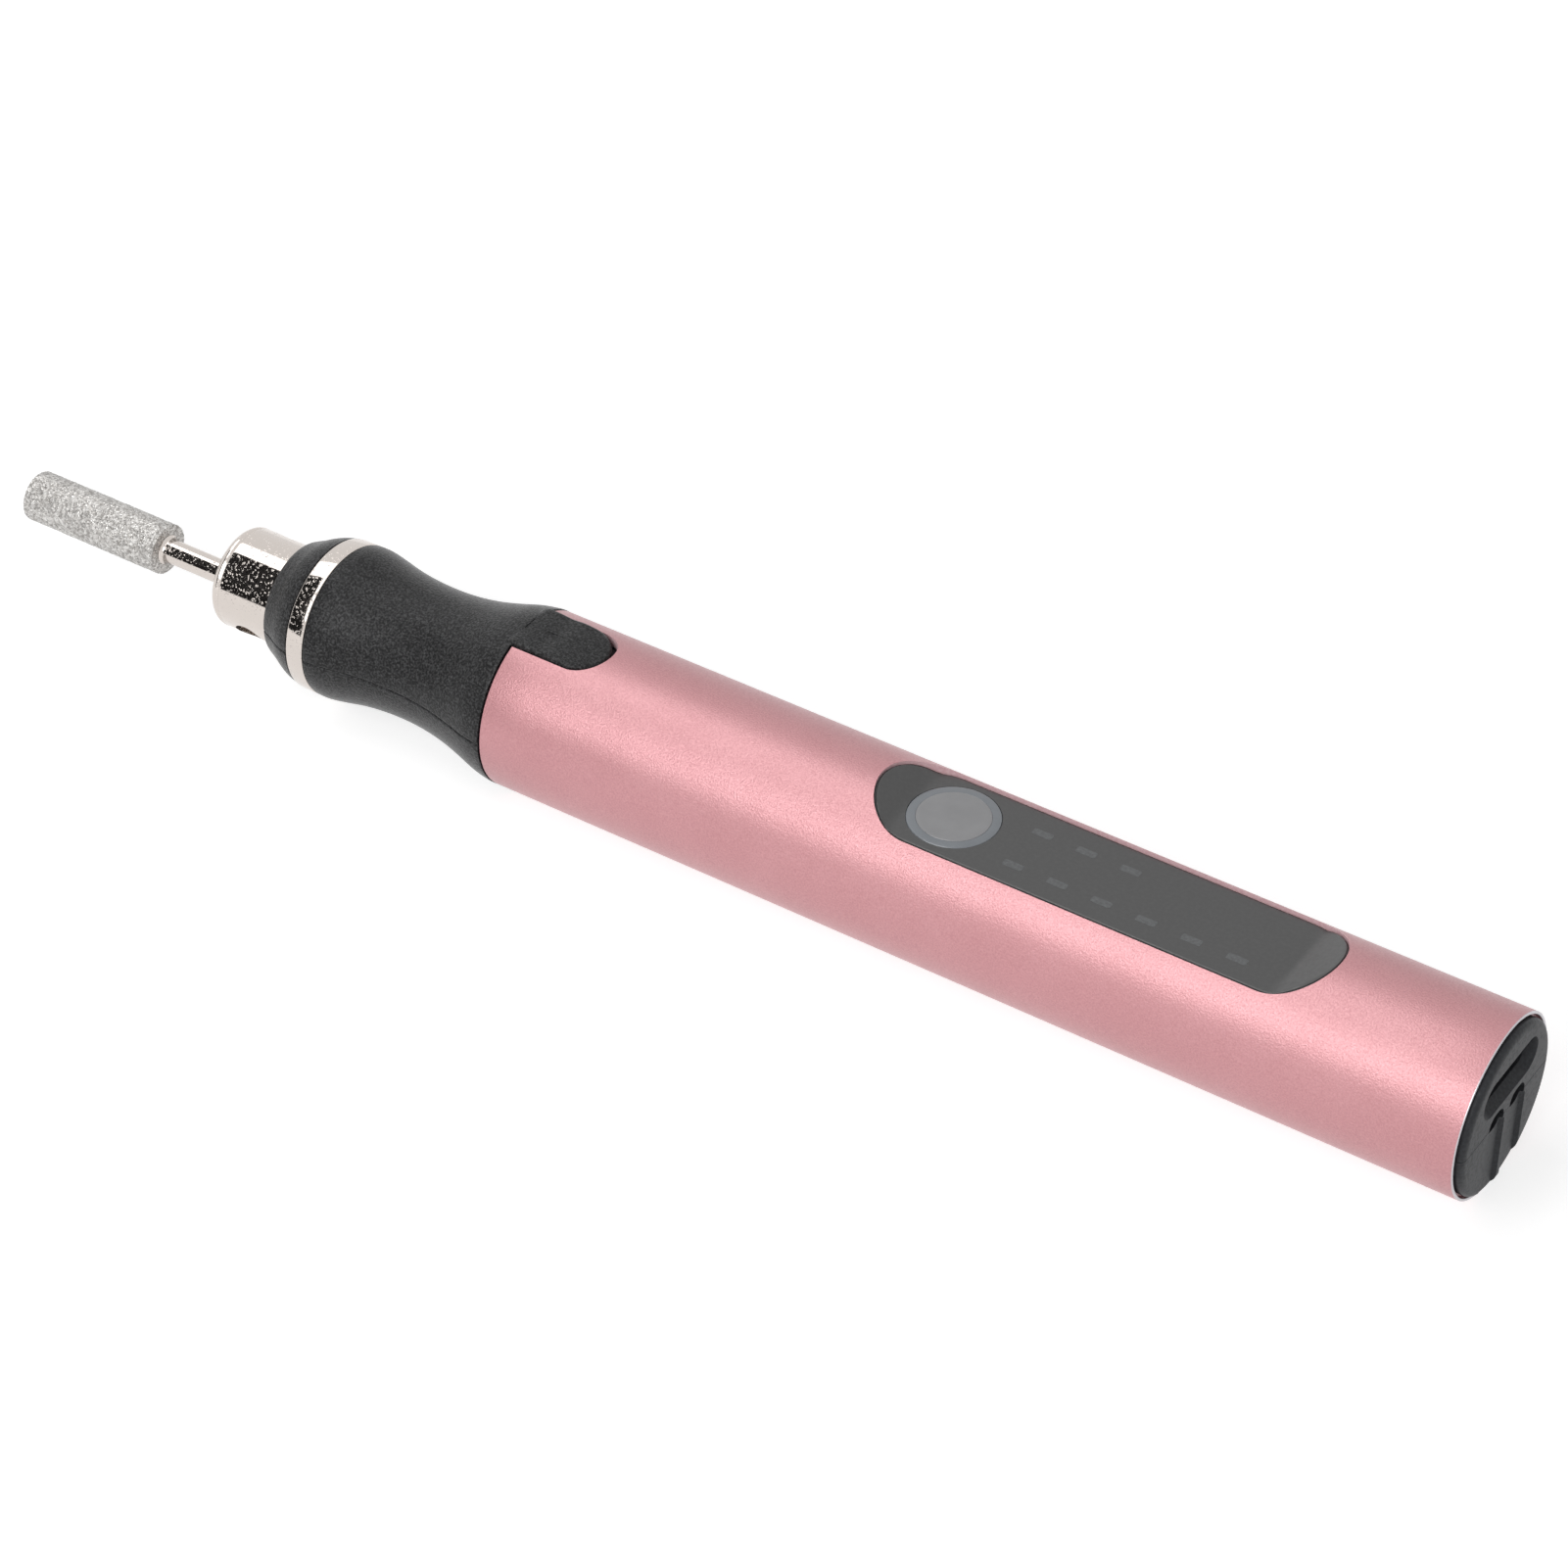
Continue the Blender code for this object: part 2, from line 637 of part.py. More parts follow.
def keep_half(part, name, side, front, rear, gap):
    """Cut away what lies across the axis plane: side 1 keeps the upper half."""
    reach = tube_radius + OVERRUN
    low, high = (-reach, gap / 2) if side > 0 else (-gap / 2, reach)
    cut(part, block(name, (front - OVERRUN, -reach, low), (rear + OVERRUN, reach, high)))


def make_grip():
    upper = turned("grip_upper_half", grip_outline(), BLACK_PLASTIC)
    keep_half(upper, "grip_upper_split", 1, nose_front, spigot_rear, GRIP_SPLIT_GAP)
    join(upper, make_tongue())
    lower = turned("grip_lower_half", grip_outline(), BLACK_PLASTIC)
    keep_half(lower, "grip_lower_split", -1, nose_front, spigot_rear, GRIP_SPLIT_GAP)


def make_tongue():
    """The tab of the upper half that fills the tube's notch and slopes down at its end."""
    root = tube_front - TONGUE_ROOT
    rear = tube_front + NOTCH_LENGTH - TONGUE_GAP
    outline = stadium(2 * (rear - root), NOTCH_WIDTH - 2 * TONGUE_GAP)
    tongue = plate("grip_tongue", outline, tube_radius, None, (root, 0, tube_radius))
    inner = spigot_radius - SPIGOT_WALL / 2
    outer = tube_radius - TONGUE_INSET
    flat_end = tube_front + NOTCH_LENGTH * TONGUE_FLAT_SHARE
    skin = [(root, outer), (flat_end, outer), (rear, outer - TONGUE_SLOPE), (rear, inner), (root, inner)]
    combine(tongue, "INTERSECT", turned("tongue_skin", skin, None))
    return tongue


def make_nose_ring():
    outline = ring_outline(RING_GAP, RING_WIDTH - RING_GAP, ring_seat, swell_radius)
    turned("nose_ring", outline, NICKEL_PLATE, ring_front)


def make_motor():
    """A brushed motor: cup, magnet, armature, commutator, brushes, end bell, terminals and shaft."""
    inside = motor_radius - MOTOR_WALL
    shaft_hole = shaft_radius + AIR_GAP
    cup = [
        (0, motor_radius),
        (MOTOR_LENGTH, motor_radius),
        (MOTOR_LENGTH, inside),
        (MOTOR_WALL, inside),
        (MOTOR_WALL, shaft_hole),
        (0, shaft_hole),
    ]
    turned("motor_can", cup, STEEL, motor_front)
    magnet_outer = inside - FIT_GAP
    magnet_inner = magnet_outer - MAGNET_THICKNESS
    magnet_front = motor_front + MAGNET_SETBACK
    magnet = ring_outline(0, MAGNET_LENGTH, magnet_inner, magnet_outer)
    turned("motor_magnet", magnet, FERRITE, magnet_front)
    bore = shaft_radius + FIT_GAP
    armature_front = magnet_front + (MAGNET_LENGTH - ARMATURE_LENGTH) / 2
    make_armature(armature_front, bore, magnet_inner - AIR_GAP)
    commutator_front = armature_front + ARMATURE_LENGTH + SEAT_GAP
    commutator_radius = COMMUTATOR_DIAMETER / 2
    commutator = ring_outline(0, COMMUTATOR_LENGTH, bore, commutator_radius)
    turned("motor_commutator", commutator, COPPER, commutator_front)
    bell_front = motor_rear - END_BELL_THICKNESS
    bell_outline = ring_outline(0, END_BELL_THICKNESS, shaft_hole, inside - FIT_GAP)
    bell = turned("motor_end_bell", bell_outline, WHITE_PLASTIC, bell_front)
    shaft_front = spindle_rear + SEAT_GAP
    shaft_rear = motor_rear - MOTOR_WALL
    turned("motor_shaft", rod_outline(0, shaft_rear - shaft_front, shaft_radius), STEEL, shaft_front)
    brush_inner = commutator_radius / math.cos(math.pi / SIDES) + FIT_GAP
    brush_outer = brush_inner + BRUSH_THICKNESS
    for name, side in (("left", -1), ("right", 1)):
        across = sorted((side * brush_inner, side * brush_outer))
        low = (commutator_front, across[0], -BRUSH_WIDTH / 2)
        high = (bell_front - FIT_GAP, across[1], BRUSH_WIDTH / 2)
        block(name + "_motor_brush", low, high, CARBON)
        block(name + "_motor_terminal", *terminal_corners(side, 0), BRASS)
        cut(bell, block(name + "_terminal_slot", *terminal_corners(side, FIT_GAP)))


def make_armature(front, bore, radius):
    armature = turned("motor_armature", ring_outline(0, ARMATURE_LENGTH, bore, radius), COPPER, front)
    for count in range(ARMATURE_SLOT_COUNT):
        turn = 2 * math.pi * count / ARMATURE_SLOT_COUNT
        slot = block(
            f"armature_slot_{count + 1}",
            (front - OVERRUN, -ARMATURE_SLOT / 2, (radius + bore) / 2),
            (front + ARMATURE_LENGTH + OVERRUN, ARMATURE_SLOT / 2, radius + OVERRUN),
        )
        out = slot.location.z
        slot.location.y = -out * math.sin(turn)
        slot.location.z = out * math.cos(turn)
        slot.rotation_euler.x = turn
        cut(armature, slot)


def terminal_corners(side, slack):
    """Corners of a motor terminal, or of its slot when there is slack round it."""
    middle = side * motor_radius * TERMINAL_SHARE
    half_thickness = TERMINAL_THICKNESS / 2 + slack
    half_width = TERMINAL_WIDTH / 2 + slack
    low = (motor_rear - END_BELL_THICKNESS / 2 - slack, middle - half_thickness, -half_width)
    high = (motor_rear + TERMINAL_LENGTH + slack, middle + half_thickness, half_width)
    return low, high


def make_tube():
    length = tube_rear - tube_front
    tube = turned("body_tube", ring_outline(0, length, tube_inner, tube_radius), PINK_ANODISED, tube_front)
    depth = tube_radius + OVERRUN
    opening = stadium(OPENING_LENGTH, OPENING_WIDTH)
    cut(tube, plate("panel_opening", opening, depth, None, (opening_middle, 0, depth / 2)))
    notch = stadium(2 * NOTCH_LENGTH, NOTCH_WIDTH)
    cut(tube, plate("front_notch", notch, depth, None, (tube_front, 0, depth / 2)))


def make_panel():
    length = OPENING_LENGTH - 2 * PANEL_GAP
    top = tube_radius + OVERRUN
    outline = stadium(length, OPENING_WIDTH - 2 * PANEL_GAP)
    centre = (opening_middle, 0, (top + panel_bottom) / 2)
    panel = plate("control_panel", outline, top - panel_bottom, PANEL_GREY, centre)
    crown_radius = tube_radius - PANEL_INSET
    crown = rod_outline(opening_front - OVERRUN, opening_rear + OVERRUN, crown_radius)
    combine(panel, "INTERSECT", turned("panel_crown", crown, None))
    steepness = (top - panel_top) / (crown_radius - panel_top)
    front_flat = PANEL_FRONT_RAMP - length / 2
    rear_flat = length / 2 - PANEL_REAR_RAMP
    trough = [
        (front_flat, panel_top),
        (rear_flat, panel_top),
        (rear_flat + PANEL_REAR_RAMP * steepness, top),
        (front_flat - PANEL_FRONT_RAMP * steepness, top),
    ]
    width = OPENING_WIDTH + OVERRUN
    upright = (math.pi / 2, 0, 0)
    cut(panel, plate("panel_trough", trough, width, None, (opening_middle, 0, 0), upright))
    hole_middle = (button_station, 0, (top + panel_bottom) / 2)
    hole_depth = top - panel_bottom + OVERRUN
    cut(panel, disc("button_hole", light_ring_diameter + 2 * LIGHT_RING_GAP, hole_depth, None, hole_middle))
    low = board_surface
    high = panel_bottom + PANEL_THICKNESS / 2
    for count, (along, across) in enumerate(PANEL_POST_SHARES):
        spot = (opening_middle + length * along, OPENING_WIDTH / 2 * across, (low + high) / 2)
        join(panel, disc(f"panel_post_{count + 1}", PANEL_POST_DIAMETER, high - low, None, spot))


def make_button():
    ring_middle = (button_station, 0, (panel_top + panel_bottom) / 2)
    ring = disc("button_light_ring", light_ring_diameter, PANEL_THICKNESS, SMOKED_PLASTIC, ring_middle)
    hole_diameter = button_diameter + 2 * BUTTON_GAP
    cut(ring, disc("light_ring_hole", hole_diameter, PANEL_THICKNESS + OVERRUN, None, ring_middle))
    button_middle = (button_station, 0, (button_top + button_bottom) / 2)
    button = disc("button_cap", button_diameter, BUTTON_THICKNESS, SMOKED_PLASTIC, button_middle)
    bevel = button.modifiers.new("round", "BEVEL")
    bevel.width = BUTTON_ROUNDING
    bevel.segments = ROUND_SEGMENTS
    bevel.limit_method = "ANGLE"
    bevel.angle_limit = SHARP_ANGLE


def on_board(name, middle, length, width, height, finish):
    """A component lying on the circuit board."""
    low = (middle - length / 2, -width / 2, board_surface)
    high = (middle + length / 2, width / 2, board_surface + height)
    return block(name, low, high, finish)


def make_board():
    low = (board_front, -board_half_width, board_bottom)
    block("circuit_board", low, (board_rear, board_half_width, board_top), BOARD_GREEN)
    on_board("switch_body", button_station, SWITCH_SIZE, SWITCH_SIZE, SWITCH_HEIGHT, BLACK_PLASTIC)
    plunger_bottom = board_surface + SWITCH_HEIGHT + BUTTON_TRAVEL + FIT_GAP
    plunger_top = button_bottom - FIT_GAP
    middle = (button_station, 0, (plunger_bottom + plunger_top) / 2)
    disc("switch_plunger", PLUNGER_DIAMETER, plunger_top - plunger_bottom, WHITE_PLASTIC, middle)
    ring_middle = (light_ring_diameter - LIGHT_RING_WIDTH) / 2
    on_board("front_led", button_station - ring_middle, LED_WIDTH, LED_LENGTH, LED_HEIGHT, WHITE_PLASTIC)
    on_board("rear_led", button_station + ring_middle, LED_WIDTH, LED_LENGTH, LED_HEIGHT, WHITE_PLASTIC)
    board_length = board_rear - board_front
    for name, share in (("charge_chip", CHARGE_CHIP_SHARE), ("motor_driver_chip", DRIVER_CHIP_SHARE)):
        middle = board_front + board_length * share
        on_board(name, middle, CHIP_LENGTH, CHIP_WIDTH, CHIP_HEIGHT, BLACK_PLASTIC)


def make_charge_socket():
    """The charging socket's metal shell, open to the rear, and the contact blade in it."""
    rear = cap_floor - FIT_GAP
    front = rear - SOCKET_LENGTH
    outline = stadium(SOCKET_WIDTH, SOCKET_HEIGHT)
    centre = ((front + rear) / 2, 0, socket_height)
    shell = plate("charge_socket_shell", outline, SOCKET_LENGTH, STEEL, centre, facing_rear())
    cavity_front = front + SOCKET_BACK_WALL
    cavity_end = rear + OVERRUN
    cavity = stadium(SOCKET_WIDTH - 2 * SOCKET_WALL, SOCKET_HEIGHT - 2 * SOCKET_WALL)
    cavity_centre = ((cavity_front + cavity_end) / 2, 0, socket_height)
    depth = cavity_end - cavity_front
    cut(shell, plate("charge_socket_cavity", cavity, depth, None, cavity_centre, facing_rear()))
    half_width = CONTACT_WIDTH / 2
    half_thickness = CONTACT_THICKNESS / 2
    low = (cavity_front + FIT_GAP, -half_width, socket_height - half_thickness)
    high = (rear - SOCKET_WALL, half_width, socket_height + half_thickness)
    block("charge_socket_contact", low, high, BLACK_PLASTIC)


def make_battery():
    length = battery_rear - battery_front
    front = rounded_front(0, battery_radius, BATTERY_ROUNDING)
    rear = rounded_rear(length, battery_radius, BATTERY_ROUNDING)
    outline = [(0, 0), *front, *rear, (length, 0)]
    turned("battery_cell", outline, CELL_SLEEVE, battery_front, SIDES, battery_axis)
    make_tab("front_battery_tab", battery_front - FIT_GAP - TAB_THICKNESS)
    make_tab("rear_battery_tab", battery_rear + FIT_GAP)


def make_tab(name, front):
    low = (front, -TAB_WIDTH / 2, battery_height - TAB_HEIGHT / 2)
    high = (front + TAB_THICKNESS, TAB_WIDTH / 2, battery_height + TAB_HEIGHT / 2)
    block(name, low, high, NICKEL_PLATE)


def make_cap_half(name, side, shell_front):
    """Half of the rear cap: flange, half shell inside the tube, loop holes and their grooves."""
    flange_radius = tube_radius - CAP_INSET
    outline = [
        (cap_floor, 0),
        (cap_floor, carrier_inner),
        (shell_front, carrier_inner),
        (shell_front, carrier_radius),
        (cap_base, carrier_radius),
        (cap_base, flange_radius),
        *rounded_rear(cap_face, flange_radius, CAP_ROUNDING),
        (cap_face, 0),
    ]
    part = turned(name, outline, BLACK_PLASTIC)
    keep_half(part, name + "_split", side, shell_front, cap_face, CAP_SPLIT_GAP)
    depth = CAP_RISE + 2 * OVERRUN
    half = LOOP_GROOVE_WIDTH / 2
    for hand, across in (("left", -LOOP_HOLE_SPACING / 2), ("right", LOOP_HOLE_SPACING / 2)):
        spot = (tube_rear + CAP_RISE / 2, across, loop_height)
        cut(part, disc(f"{name}_{hand}_hole", LOOP_HOLE_DIAMETER, depth, None, spot, facing_rear()))
        low = (cap_face - LOOP_GROOVE_DEPTH, across - half, -tube_radius - OVERRUN)
        high = (cap_face + OVERRUN, across + half, loop_height)
        cut(part, block(f"{name}_{hand}_groove", low, high))
    return part


def make_rear_cap():
    """Upper half of the rear cap, with the charging slot."""
    part = make_cap_half("rear_cap_upper_half", 1, tube_rear - CAP_SPIGOT_LENGTH)
    depth = CAP_RISE + 2 * OVERRUN
    centre = (tube_rear + CAP_RISE / 2, 0, socket_height)
    cut(part, plate("charge_slot", stadium(SLOT_WIDTH, SLOT_HEIGHT), depth, None, centre, facing_rear()))


def make_carrier():
    """Cradle for the cell with rails under the board, ending in the rear cap's lower half."""
    part = make_cap_half("carrier_with_lower_cap", -1, board_front)
    rail_inner = board_half_width - RAIL_LAP
    skin = rod_outline(board_front, battery_rear + OVERRUN, carrier_wall_middle)
    for name, side in (("left", -1), ("right", 1)):
        across = sorted((side * rail_inner, side * tube_radius))
        low = (board_front + OVERRUN, across[0], -RAIL_ROOT)
        rail = block(name + "_rail", low, (battery_rear, across[1], board_bottom - FIT_GAP))
        combine(rail, "INTERSECT", turned(name + "_rail_skin", skin, None))
        join(part, rail)
    length = battery_rear - battery_front
    trough = rod_outline(battery_front - OVERRUN, battery_rear + OVERRUN, battery_radius + FIT_GAP)
    for count, share in enumerate(SADDLE_SHARES):
        middle = (battery_front + length * share, 0, 0)
        turn = facing_rear()
        saddle = plate(f"saddle_{count + 1}", saddle_outline(), SADDLE_WIDTH, None, middle, turn)
        cut(saddle, turned(f"saddle_trough_{count + 1}", trough, None, 0, SIDES, battery_axis))
        join(part, saddle)


def saddle_outline():
    """What lies below the cell's middle in a circle halfway through the carrier's wall."""
    rise = math.asin(battery_height / carrier_wall_middle)
    sweep = math.pi + 2 * rise
    turns = [rise - sweep * step / SADDLE_STEPS for step in range(SADDLE_STEPS + 1)]
    return [(carrier_wall_middle * math.cos(turn), carrier_wall_middle * math.sin(turn)) for turn in turns]


def make_leads():
    """Leads from the motor's terminals and the battery's tabs to the circuit board."""
    reach = LEAD_DIAMETER / 2 + LEAD_GAP
    over = board_top + reach
    riser = (motor_rear + board_front) / 2
    landing = board_front + LEAD_LANDING
    for name, side, finish in (("red", -1, RED_SLEEVE), ("black", 1, BLACK_SLEEVE)):
        across = side * (motor_radius * TERMINAL_SHARE - TERMINAL_THICKNESS / 2 - reach)
        route = [(riser, across, 0), (riser, across, over), (landing, across, over)]
        lead(name + "_motor_lead", route, finish)
    tab_front = battery_front - FIT_GAP - TAB_THICKNESS - reach
    high = battery_top - reach
    front_route = [
        (tab_front, 0, battery_height),
        (tab_front, 0, high),
        (riser, 0, high),
        (riser, 0, over),
        (landing, 0, over),
    ]
    lead("red_battery_lead", front_route, RED_SLEEVE)
    tab_rear = battery_rear + FIT_GAP + TAB_THICKNESS + reach
    under = board_bottom - reach
    rear_route = [(tab_rear, 0, battery_height), (tab_rear, 0, under), (tab_rear + LEAD_LANDING, 0, under)]
    lead("black_battery_lead", rear_route, BLACK_SLEEVE)


for leftover in list(bpy.data.objects):
    bpy.data.objects.remove(leftover)
pen = new_collection("engraving_pen", False)
cutters = new_collection("cutters", True)
pen_frame = new_empty("pen_frame", None, (-cap_face / 2, 0, tube_radius))
pen_axis = new_empty("pen_axis", pen_frame, (0, 0, 0))
pen_axis.rotation_euler.y = math.pi / 2
bit_axis = new_empty(
    "bit_axis", pen_axis, (shank_offset * math.cos(SCREW_TURN), shank_offset * math.sin(SCREW_TURN), 0)
)
battery_axis = new_empty("battery_axis", pen_axis, (-battery_height, 0, 0))

make_bit()
make_chuck()
make_spindle()
make_bearing("front_bearing", front_bearing)
make_bearing("rear_bearing", rear_bearing)
make_nose_ring()
make_grip()
make_coupling()
make_motor()
make_tube()
make_panel()
make_button()
make_board()
make_charge_socket()
make_battery()
make_rear_cap()
make_carrier()
make_leads()
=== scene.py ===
# Electric engraving pen: the shown model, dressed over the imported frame.
# Shapes are drawn in millimetres: x along the pen, y across it, z up from the floor.

import math

import bmesh
import bpy
from mathutils import Euler, Matrix, Vector, noise


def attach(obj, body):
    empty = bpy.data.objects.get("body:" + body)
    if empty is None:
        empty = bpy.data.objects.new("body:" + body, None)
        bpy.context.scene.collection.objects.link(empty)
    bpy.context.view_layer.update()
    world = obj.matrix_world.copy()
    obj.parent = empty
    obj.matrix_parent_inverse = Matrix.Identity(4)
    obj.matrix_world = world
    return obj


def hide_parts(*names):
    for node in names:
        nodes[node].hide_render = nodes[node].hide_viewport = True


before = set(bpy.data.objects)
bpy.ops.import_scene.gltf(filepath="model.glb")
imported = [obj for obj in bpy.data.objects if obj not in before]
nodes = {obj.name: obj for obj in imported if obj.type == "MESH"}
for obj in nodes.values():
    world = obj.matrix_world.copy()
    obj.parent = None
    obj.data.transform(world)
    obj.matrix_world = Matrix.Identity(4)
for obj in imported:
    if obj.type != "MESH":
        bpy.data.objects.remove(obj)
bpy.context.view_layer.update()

toMetres = 0.001
axisHeight = 8.5                    # of the pen's own axis
roundSteps = 168                    # sides of a turned piece
sharpAngle = 32                     # degrees; edges sharper than this stay crisp
flatAngle = 155                     # degrees; outline corners flatter than this aren't softened
cornerShare = 0.45                  # the most of a side that a softened corner takes
seamAngles = (0.4, 1.0)             # degrees from the end of a half, where its rounded seam has points
seamShares = (1, 0.35, 0.05)        # of the seam's depth, at the end and at those points
seamFrom = 5.6                      # radius outside which a seam is rounded
plateStep = 0.3                     # between the rings of a crowned plate, and between points along it
plateRim = (0, 0.12, 0.4, 0.75)     # rings on its rounded rim, in shares of the rim's width
plateGaps = (0.05, 0.01)            # to its middle line: the least for a plain ring, and the last ring's
squareCorners = ((-1, -1), (1, -1), (1, 1), (-1, 1))


def softCorners(outline, radius, steps=3):
    # swaps each corner of a closed outline for a short curve
    softened = []
    for index, corner in enumerate(outline):
        here = Vector(corner)
        back = Vector(outline[index - 1]) - here
        ahead = Vector(outline[(index + 1) % len(outline)]) - here
        if min(back.length, ahead.length) < 1e-6 or back.angle(ahead) > math.radians(flatAngle):
            softened.append(tuple(corner))
            continue
        reach = min(radius, back.length * cornerShare, ahead.length * cornerShare)
        first = here + back.normalized() * reach
        last = here + ahead.normalized() * reach
        for step in range(steps + 1):
            share = step / steps
            softened.append(tuple(first.lerp(here, share).lerp(here.lerp(last, share), share)))
    return softened


def smoothRun(points, steps):
    # a smooth curve through all the points
    run = []
    for index in range(len(points) - 1):
        p = [Vector(points[min(max(index + shift, 0), len(points) - 1)]) for shift in (-1, 0, 1, 2)]
        for step in range(steps):
            t = step / steps
            bend = (p[2] - p[0]) * t + (p[0] * 2 - p[1] * 5 + p[2] * 4 - p[3]) * t**2
            bend += (p[1] * 3 - p[0] - p[2] * 3 + p[3]) * t**3
            run.append(tuple(p[1] + bend * 0.5))
    run.append(tuple(points[-1]))
    return run


def splitRun(start, end, pitch):
    # points along a straight line, so that long faces are cut up
    count = max(1, round((Vector(end) - Vector(start)).length / pitch))
    return [tuple(Vector(start).lerp(Vector(end), step / count)) for step in range(count + 1)]


def roundedRim(face, radius, inward, down, steps=10):
    # a quarter curve from the skin of a turned piece onto its end face
    turns = [math.pi / 2 * step / steps for step in range(steps + 1)]
    return [(face + inward * (1 - math.sin(turn)), radius - down * (1 - math.cos(turn))) for turn in turns]


def wrapMesh(name, shape):
    # puts a finished mesh into the scene
    mesh = bpy.data.meshes.new(name)
    shape.to_mesh(mesh)
    shape.free()
    piece = bpy.data.objects.new(name, mesh)
    bpy.context.scene.collection.objects.link(piece)
    return piece


def finishMesh(name, shape):
    # cleans a mesh drawn in millimetres and turns it into metres
    bmesh.ops.remove_doubles(shape, verts=shape.verts, dist=1e-5)
    bmesh.ops.recalc_face_normals(shape, faces=shape.faces)
    piece = wrapMesh(name, shape)
    piece.data.transform(Matrix.Scale(toMetres, 4))
    return piece


def spin(name, outline, steps=roundSteps, start=0, sweep=360, centre=(0, axisHeight), seam=0):
    # turns a closed (x, radius) outline about the pen's axis; a seam softens the ends of a half
    shape = bmesh.new()
    whole = sweep == 360
    angles = [start + sweep * step / steps for step in range(steps if whole else steps + 1)]
    if seam:
        angles[1:1] = [start + angle for angle in seamAngles]
        angles[-1:-1] = [start + sweep - angle for angle in reversed(seamAngles)]
    rings = []
    for order, angle in enumerate(angles):
        fromEnd = min(order, len(angles) - 1 - order)
        drop = seam * seamShares[fromEnd] if fromEnd < len(seamShares) else 0
        turn = math.radians(angle)
        ring = []
        for x, radius in outline:
            radius = radius - drop if radius > seamFrom else radius
            y, z = centre[0] + radius * math.cos(turn), centre[1] + radius * math.sin(turn)
            ring.append(shape.verts.new((x, y, z)))
        rings.append(ring)
    for index in range(len(rings) if whole else len(rings) - 1):
        near, far = rings[index], rings[(index + 1) % len(rings)]
        for spot in range(len(outline)):
            after = (spot + 1) % len(outline)
            if outline[spot][1] > 0 or outline[after][1] > 0:
                shape.faces.new((near[spot], near[after], far[after], far[spot]))
    if not whole:
        shape.faces.new(rings[0])
        shape.faces.new(list(reversed(rings[-1])))
    return finishMesh(name, shape)


def stadium(length, width, arcSteps=24, sidePitch=0):
    # a slot outline with round ends about zero, with points along its sides where a pitch is given
    radius = width / 2
    reach = length / 2 - radius
    corners = []
    for side in (1, -1):
        for step in range(arcSteps + 1):
            turn = math.pi * (step / arcSteps - 0.5)
            corners.append((side * (reach + radius * math.cos(turn)), side * radius * math.sin(turn)))
    if not sidePitch:
        return corners
    count = round(2 * reach / sidePitch)
    first, second = corners[: arcSteps + 1], corners[arcSteps + 1:]
    upper = [(reach - 2 * reach * step / count, radius) for step in range(1, count)]
    lower = [(2 * reach * step / count - reach, -radius) for step in range(1, count)]
    return first + upper + second + lower


def circle(radius, steps=72, centre=(0, 0)):
    turns = [2 * math.pi * step / steps for step in range(steps)]
    return [(centre[0] + radius * math.cos(turn), centre[1] + radius * math.sin(turn)) for turn in turns]


def prism(name, outline, low, high, along="z", farOutline=None):
    # a block from an (x, y) outline along z, or a (y, z) outline along x
    # it tapers to a far outline where one is given
    shape = bmesh.new()
    ends = []
    for level, spots in ((low, outline), (high, farOutline or outline)):
        if along == "z":
            ends.append([shape.verts.new((x, y, level)) for x, y in spots])
        else:
            ends.append([shape.verts.new((level, y, z)) for y, z in spots])
    shape.faces.new(ends[0])
    shape.faces.new(list(reversed(ends[1])))
    for index in range(len(outline)):
        after = (index + 1) % len(outline)
        shape.faces.new((ends[0][index], ends[1][index], ends[1][after], ends[0][after]))
    return finishMesh(name, shape)


def crownedPlate(name, size, centreX, topAt, floor, edgeSoft, leastX=None):
    # a slot-shaped plate whose top follows topAt(x, y), rounded over at its rim and cut off at leastX
    length, width = size
    shape = bmesh.new()
    insets = [edgeSoft * share for share in plateRim]
    inset = edgeSoft
    while inset < width / 2 - plateGaps[0]:
        insets.append(inset)
        inset += plateStep
    insets.append(width / 2 - plateGaps[1])
    pitch = (length - width) / round((length - width) / plateStep)
    rings = []
    for inset in insets:
        drop = 0
        if inset < edgeSoft:
            drop = edgeSoft - math.sqrt(edgeSoft**2 - (edgeSoft - inset) ** 2)
        ring = []
        for x, y in stadium(length - 2 * inset, width - 2 * inset, sidePitch=pitch):
            x += centreX
            if leastX is not None:
                x = max(x, leastX)
            ring.append(shape.verts.new((x, y, topAt(x, y) - drop)))
        rings.append(ring)
    base = [shape.verts.new((spot.co.x, spot.co.y, floor)) for spot in rings[0]]
    for near, far in zip([base] + rings[:-1], rings):
        for index in range(len(near)):
            after = (index + 1) % len(near)
            shape.faces.new((near[index], near[after], far[after], far[index]))
    shape.faces.new(list(reversed(base)))
    last = rings[-1]
    for index in range(len(last) // 2 - 1):
        opposite = len(last) - 1 - index
        if last[opposite] != last[index + 1]:
            shape.faces.new((last[index], last[index + 1], last[opposite - 1], last[opposite]))
    bmesh.ops.remove_doubles(shape, verts=shape.verts, dist=1e-4)
    return finishMesh(name, shape)


def carve(piece, tools):
    # cuts the tools out of the piece and drops them
    for tool in tools:
        modifier = piece.modifiers.new("carve", "BOOLEAN")
        modifier.operation = "DIFFERENCE"
        modifier.solver = "EXACT"
        modifier.object = tool
    solid = bpy.data.meshes.new_from_object(piece.evaluated_get(bpy.context.evaluated_depsgraph_get()))
    piece.modifiers.clear()
    piece.data = solid
    for tool in tools:
        bpy.data.objects.remove(tool)


def addPiece(piece, material, body, replaced):
    # dresses a piece, shades it and lets it ride on its body
    piece.data.materials.clear()
    piece.data.materials.append(material)
    piece.data.shade_smooth()
    piece.data.set_sharp_from_angle(angle=math.radians(sharpAngle))
    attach(piece, body)
    if replaced:
        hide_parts(*replaced)


